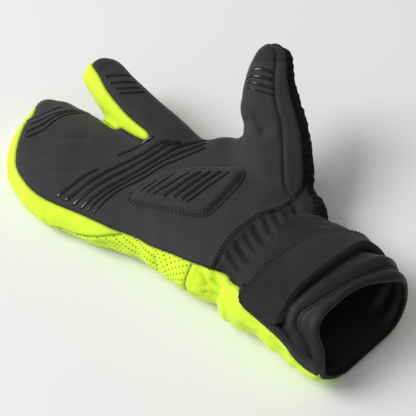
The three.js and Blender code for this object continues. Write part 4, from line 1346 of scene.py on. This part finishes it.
def on_layer(spot, shares, across, height):
    """A line on a layer's top for shares along it, with normals from its neighbours."""
    shares = np.asarray(shares, float)
    across = np.broadcast_to(np.asarray(across, float), shares.shape)
    level = np.full(shares.shape, height)
    path = spot(shares, across, level)
    normals = spot(shares, across, level + 1) - path
    return path, normals / np.linalg.norm(normals, axis=1, keepdims=True)


class GLOVE_OT_hand(Operator):
    """Sew the palm, the yellow sides and back, the index finger and the thumb."""

    bl_idname = "glove.hand"
    bl_label = "Hand panels"

    def execute(self, context):
        sew("palm_panel", "black_cloth")
        sew("mitten_side", "yellow_cloth")
        sew("back_panel", "perforated_cloth")
        sew("index_side", "yellow_cloth")
        sew("thumb_side", "black_cloth")
        sew("thumb_terry", "terry_cloth")
        return {"FINISHED"}


class GLOVE_OT_wrist(Operator):
    """Sew the gathered wrist, the back of the wrist and the inner cuff."""

    bl_idname = "glove.wrist"
    bl_label = "Wrist and inner cuff"

    def execute(self, context):
        # The gathered wrist and the inner cuff get darker copies of the black cloth: painted shade.
        sew("wrist_gathers", "gather_cloth_painted_shade")
        sew("wrist_back", "yellow_cloth")
        sew("inner_cuff", "cuff_cloth_painted_shade")
        return {"FINISHED"}


class GLOVE_OT_gauntlet(Operator):
    """Lay the yellow gauntlet over the cuff and bind its edge."""

    bl_idname = "glove.gauntlet"
    bl_label = "Gauntlet and binding"

    def execute(self, context):
        height = settings().gauntlet_height + 0.35
        points, faces = layer(Spots(gauntlet_spot, 90, 110), 0.1, height)
        add_piece("cuff_back_cloth", points, faces, finish_of("yellow_cloth"),
                  ("cuff_back",))
        points, faces = layer(Spots(binding_spot, 110, 12, 0.8), 0.1, height + 0.7, 1.6)
        add_piece("edge_binding_tape", points, faces, finish_of("binding_tape"),
                  ("edge_binding",))
        return {"FINISHED"}


class GLOVE_OT_strap(Operator):
    """Wrap the closure strap over the palm side of the cuff."""

    bl_idname = "glove.strap"
    bl_label = "Wrist strap"

    def execute(self, context):
        points, faces = layer(Spots(strap_spot, 150, 40), 0.1, settings().strap_height + 0.35, 2.4)
        add_piece("wrist_strap_cloth", points, faces, finish_of("strap_suede"),
                  ("wrist_strap",))
        return {"FINISHED"}


class GLOVE_OT_pad(Operator):
    """Set the padded drop on the heel of the palm."""

    bl_idname = "glove.pad"
    bl_label = "Palm pad"

    def execute(self, context):
        outline = pad_outline(0.0)
        middle = outline.mean(0)
        shares = 1 - np.linspace(0, 1, 40) ** 0.8
        skin = shell()
        rings = []
        full = settings().pad_height
        for share in shares[:-1]:
            ring = middle + (outline - middle) * share
            inward = np.array([np.min(np.linalg.norm(outline - spot, axis=1)) for spot in ring])
            edge = 1 - np.minimum(inward / 1.0, 1)
            flange = PAD_FLANGE * np.sqrt(1 - edge * edge)
            groove = -0.3 * np.exp(-((inward - PAD_BORDER) / 0.8) ** 2)
            slope = 3.2 + 7.5 * np.clip((-46.0 - ring[:, 0] - 0.9 * (ring[:, 1] - 8.0)) / 24.0, 0, 1)
            rise = np.clip((inward - PAD_BORDER) / slope, 0, 1)
            crown = (full - PAD_FLANGE) * np.sqrt(1 - (1 - rise) ** 2)
            height = np.maximum(flange + groove + crown, 0.05)
            rings.append([hit + normal * h for (hit, normal), h in zip(map(skin.onto, ring), height)])
        rings = np.array(rings)
        rings[2:] = (rings[2:] + np.roll(rings[2:], 1, axis=1) + np.roll(rings[2:], -1, axis=1)) / 3
        half_way = middle + (outline - middle) * 0.5
        under = np.array([hit - normal * PAD_SEAT for hit, normal in map(skin.onto, outline)])
        inner = np.array([hit - normal * PAD_SEAT for hit, normal in map(skin.onto, half_way)])
        points, faces = tube(np.concatenate((inner[None], under[None], rings)))
        faces = turned_out(points, faces)
        shop["pad"] = Surface(points.tolist(), faces)
        pad = add_piece("palm_pad_cloth", points, faces, finish_of("black_cloth"),
                        ("palm_pad",))
        return {"FINISHED"}


def pad_outline(inset):
    """The drop's outline in plan, moved in by an inset."""
    corners = np.array(PAD_OUTLINE)
    closed = np.concatenate((corners[-3:], corners, corners[:3]))
    run = np.arange(len(closed)) - 3.0
    at = np.linspace(0, len(corners), 161)[:-1]
    outline = np.stack([Table("at value", list(zip(run, closed[:, k])))("value", at) for k in range(2)], -1)
    along = np.roll(outline, -1, axis=0) - np.roll(outline, 1, axis=0)
    inward = np.stack((-along[:, 1], along[:, 0]), -1)
    inward /= np.linalg.norm(inward, axis=1, keepdims=True)
    return outline + inward * inset


# Short grip stripes: piece, node, width, and the points of the path in plan
SHORT_STRIPES = (
    ("tip_stripe", 1, 2.2, (-189.5, -5.0), (-187.0, 2.0), (-183.5, 10.0), (-178.0, 21.0)),
    ("tip_stripe", 2, 2.3, (-184.0, -8.5), (-181.0, -1.0), (-179.0, 6.5), (-174.5, 14.0), (-168.0, 25.0)),
    ("tip_stripe", 3, 2.0, (-181.5, -17.5), (-176.5, -5.0), (-175.0, 4.5), (-172.0, 14.0), (-164.0, 27.0)),
    ("tip_stripe", 4, 1.5, (-178.5, -21.0), (-172.0, -8.5), (-171.0, 2.5), (-168.5, 13.5), (-159.0, 28.5)),
    ("index_stripe", 1, 2.6, (-157.4, 43.3), (-149.8, 50.3), (-143.0, 57.7)),
    ("index_stripe", 2, 2.3, (-151.7, 40.7), (-143.9, 47.0), (-136.2, 55.3)),
    ("index_stripe", 3, 2.0, (-145.6, 38.9), (-138.1, 44.9), (-131.6, 52.5)),
    ("index_stripe", 4, 1.6, (-141.2, 37.1), (-133.8, 43.6), (-126.7, 51.6)),
    ("thumb_stripe", 1, 2.8, (-63.2, 82.0), (-54.6, 84.5), (-46.3, 86.3)),
    ("thumb_stripe", 2, 2.3, (-62.9, 79.2), (-54.2, 79.8), (-43.7, 82.4)),
    ("thumb_stripe", 3, 1.9, (-61.3, 76.0), (-50.7, 76.1), (-40.5, 78.8)),
    ("thumb_stripe", 4, 1.4, (-59.0, 72.8), (-48.8, 73.1), (-38.6, 75.9)),
)
PAD_STRIPES = (
    (0.9, (-81.5, -19.0), (-77.3, -4.7)),
    (1.1, (-77.0, -18.5), (-70.7, 6.0)),
    (1.9, (-72.6, -18.0), (-62.2, 11.7)),
    (2.8, (-65.7, -16.5), (-56.2, 15.8)),
    (2.8, (-59.3, -14.2), (-50.7, 19.5)),
    (2.6, (-53.6, -12.9), (-45.3, 23.1)),
    (1.4, (-49.4, -12.6), (-39.9, 25.2)),
)


class GLOVE_OT_stripes(Operator):
    """Print the silicone grip stripes."""

    bl_idname = "glove.stripes"
    bl_label = "Grip stripes"

    def execute(self, context):
        for k, (width, *corners) in enumerate(PALM_STRIPES, 1):
            stripe(f"palm_stripe_{k}_print", width, corners, nodes=(f"palm_stripe_{k}",))
        for name, k, width, *corners in SHORT_STRIPES:
            stripe(f"{name}_{k}_print", width, corners, nodes=(f"{name}_{k}",), height=0.6)
        for k, (width, start, end) in enumerate(PAD_STRIPES, 1):
            stripe(f"pad_stripe_{k}_print", width, (start, end), nodes=(f"pad_stripe_{k}",),
                   height=0.7, surface=shop["pad"], rounds=14)
        return {"FINISHED"}


class GLOVE_OT_stitches(Operator):
    """Stitch the wrist seam, the pad, the strap, the binding and the hem."""

    bl_idname = "glove.stitches"
    bl_label = "Stitches"

    def execute(self, context):
        side = np.linspace(-44, 46, 90)
        seam = np.stack((WRIST_SEAM("along", side) - 2.2, side), -1)
        stitches("wrist_stitches", [on_skin(seam, 0.15)], radius=0.36)
        rings = []
        for inset in (1.2, 3.0):
            outline = pad_outline(inset)
            rings.append(on_skin(np.concatenate((outline[148:], outline[:94])), 0.38))
        stitches("pad_stitches", rings, radius=0.34)
        shares = np.linspace(0.05, 0.97, 200)
        height = settings().strap_height + 0.3
        stitches("strap_stitches", [
            on_layer(strap_spot, shares, strap_share(shares, inset), height) for inset in (2.0, 4.2)])
        stitches("strap_far_stitches", [on_layer(strap_spot, shares, 1 - strap_share(shares, 2.0), height)])
        edge = np.linspace(0.05, 0.95, 200)
        stitches("binding_stitches", [on_layer(binding_spot, edge, 0.8, settings().gauntlet_height + 0.95)])
        angle = np.linspace(-180, 180, 241)
        hem = body_points(CUFF_LINES("hem", angle) * CUFF_LENGTH - 1.6, angle)
        hits = [shell().nearest(spot) for spot in hem]
        line = (np.array([hit for hit, _ in hits]), np.array([normal for _, normal in hits]))
        stitches("hem_stitches", [line])
        return {"FINISHED"}


class GLOVE_OT_stage(Operator):
    """Set the pale floor, the soft light and the camera."""

    bl_idname = "glove.stage"
    bl_label = "Stage"

    def execute(self, context):
        bpy.ops.object.select_all(action="DESELECT")
        bpy.ops.mesh.primitive_plane_add(size=12, location=(0, 0, 0))
        floor = context.active_object
        floor.name = "studio_floor"
        finish = Finish("studio_paper", Specular_IOR_Level=0.0)
        tone = finish.noise(finish.place(), 3.0)
        floor.data.materials.append(finish.feed(
            Base_Color=finish.mix(tone, (0.79, 0.79, 0.79, 1), (0.81, 0.81, 0.81, 1)), Roughness=1.0))
        world = context.scene.world or bpy.data.worlds.new("studio")
        context.scene.world = world
        world.use_nodes = True
        nodes, links = world.node_tree.nodes, world.node_tree.links
        background = next(node for node in nodes if node.type == "BACKGROUND")
        background.inputs["Color"].default_value = (1, 1, 1, 1)
        direction = nodes.new("ShaderNodeTexCoord")
        facing = nodes.new("ShaderNodeVectorMath")
        facing.operation = "DOT_PRODUCT"
        facing.inputs[1].default_value = (-0.62, -0.62, 0.48)
        spread = nodes.new("ShaderNodeMapRange")
        for socket, value in (("From Min", -0.7), ("From Max", 1.0), ("To Min", 0.08), ("To Max", 0.70)):
            spread.inputs[socket].default_value = value
        links.new(direction.outputs["Generated"], facing.inputs[0])
        links.new(facing.outputs["Value"], spread.inputs["Value"])
        links.new(spread.outputs["Result"], background.inputs["Strength"])
        light = bpy.data.lights.new("key_softbox", "AREA")
        light.size = 1.3
        light.energy = 58.0
        lamp = bpy.data.objects.new("key_softbox", light)
        lamp.location = (-1.5, -1.1, 1.9)
        lamp.rotation_euler = Vector(lamp.location).to_track_quat("Z", "Y").to_euler()
        context.scene.collection.objects.link(lamp)
        azimuth, elevation = math.radians(CAMERA_AZIMUTH), math.radians(CAMERA_ELEVATION)
        level = math.cos(elevation)
        back = Vector((math.sin(azimuth) * level, -math.cos(azimuth) * level, math.sin(elevation)))
        camera = bpy.data.cameras.new("studio_camera")
        camera.sensor_width = SENSOR_WIDTH
        camera.lens = SENSOR_WIDTH * FOCAL_PIXELS / FRAME_PIXELS
        holder = bpy.data.objects.new("studio_camera", camera)
        holder.location = Vector(CAMERA_TARGET) + back * CAMERA_DISTANCE
        holder.rotation_euler = back.to_track_quat("Z", "Y").to_euler()
        context.scene.collection.objects.link(holder)
        context.scene.camera = holder
        context.scene.view_settings.view_transform = "Standard"
        return {"FINISHED"}


class GLOVE_PT_sidebar(Panel):
    """Lists the steps that sew the glove."""

    bl_idname = "GLOVE_PT_sidebar"
    bl_label = "Lobster claw glove"
    bl_space_type = "VIEW_3D"
    bl_region_type = "UI"
    bl_category = "Glove"

    def draw(self, context):
        for step in STEPS:
            self.layout.operator(step.bl_idname)
        for name in GloveSettings.__annotations__:
            self.layout.prop(context.scene.glove_settings, name)


STEPS = (
    GLOVE_OT_hand,
    GLOVE_OT_wrist,
    GLOVE_OT_gauntlet,
    GLOVE_OT_strap,
    GLOVE_OT_pad,
    GLOVE_OT_stripes,
    GLOVE_OT_stitches,
    GLOVE_OT_stage,
)
CLASSES = (GloveSettings, *STEPS, GLOVE_PT_sidebar)


def register():
    for cls in CLASSES:
        bpy.utils.register_class(cls)
    bpy.types.Scene.glove_settings = PointerProperty(type=GloveSettings)


def unregister():
    del bpy.types.Scene.glove_settings
    for cls in reversed(CLASSES):
        bpy.utils.unregister_class(cls)


def main():
    register()
    for step in STEPS:
        group, name = step.bl_idname.split(".")
        getattr(getattr(bpy.ops, group), name)()


if __name__ == "__main__":
    main()
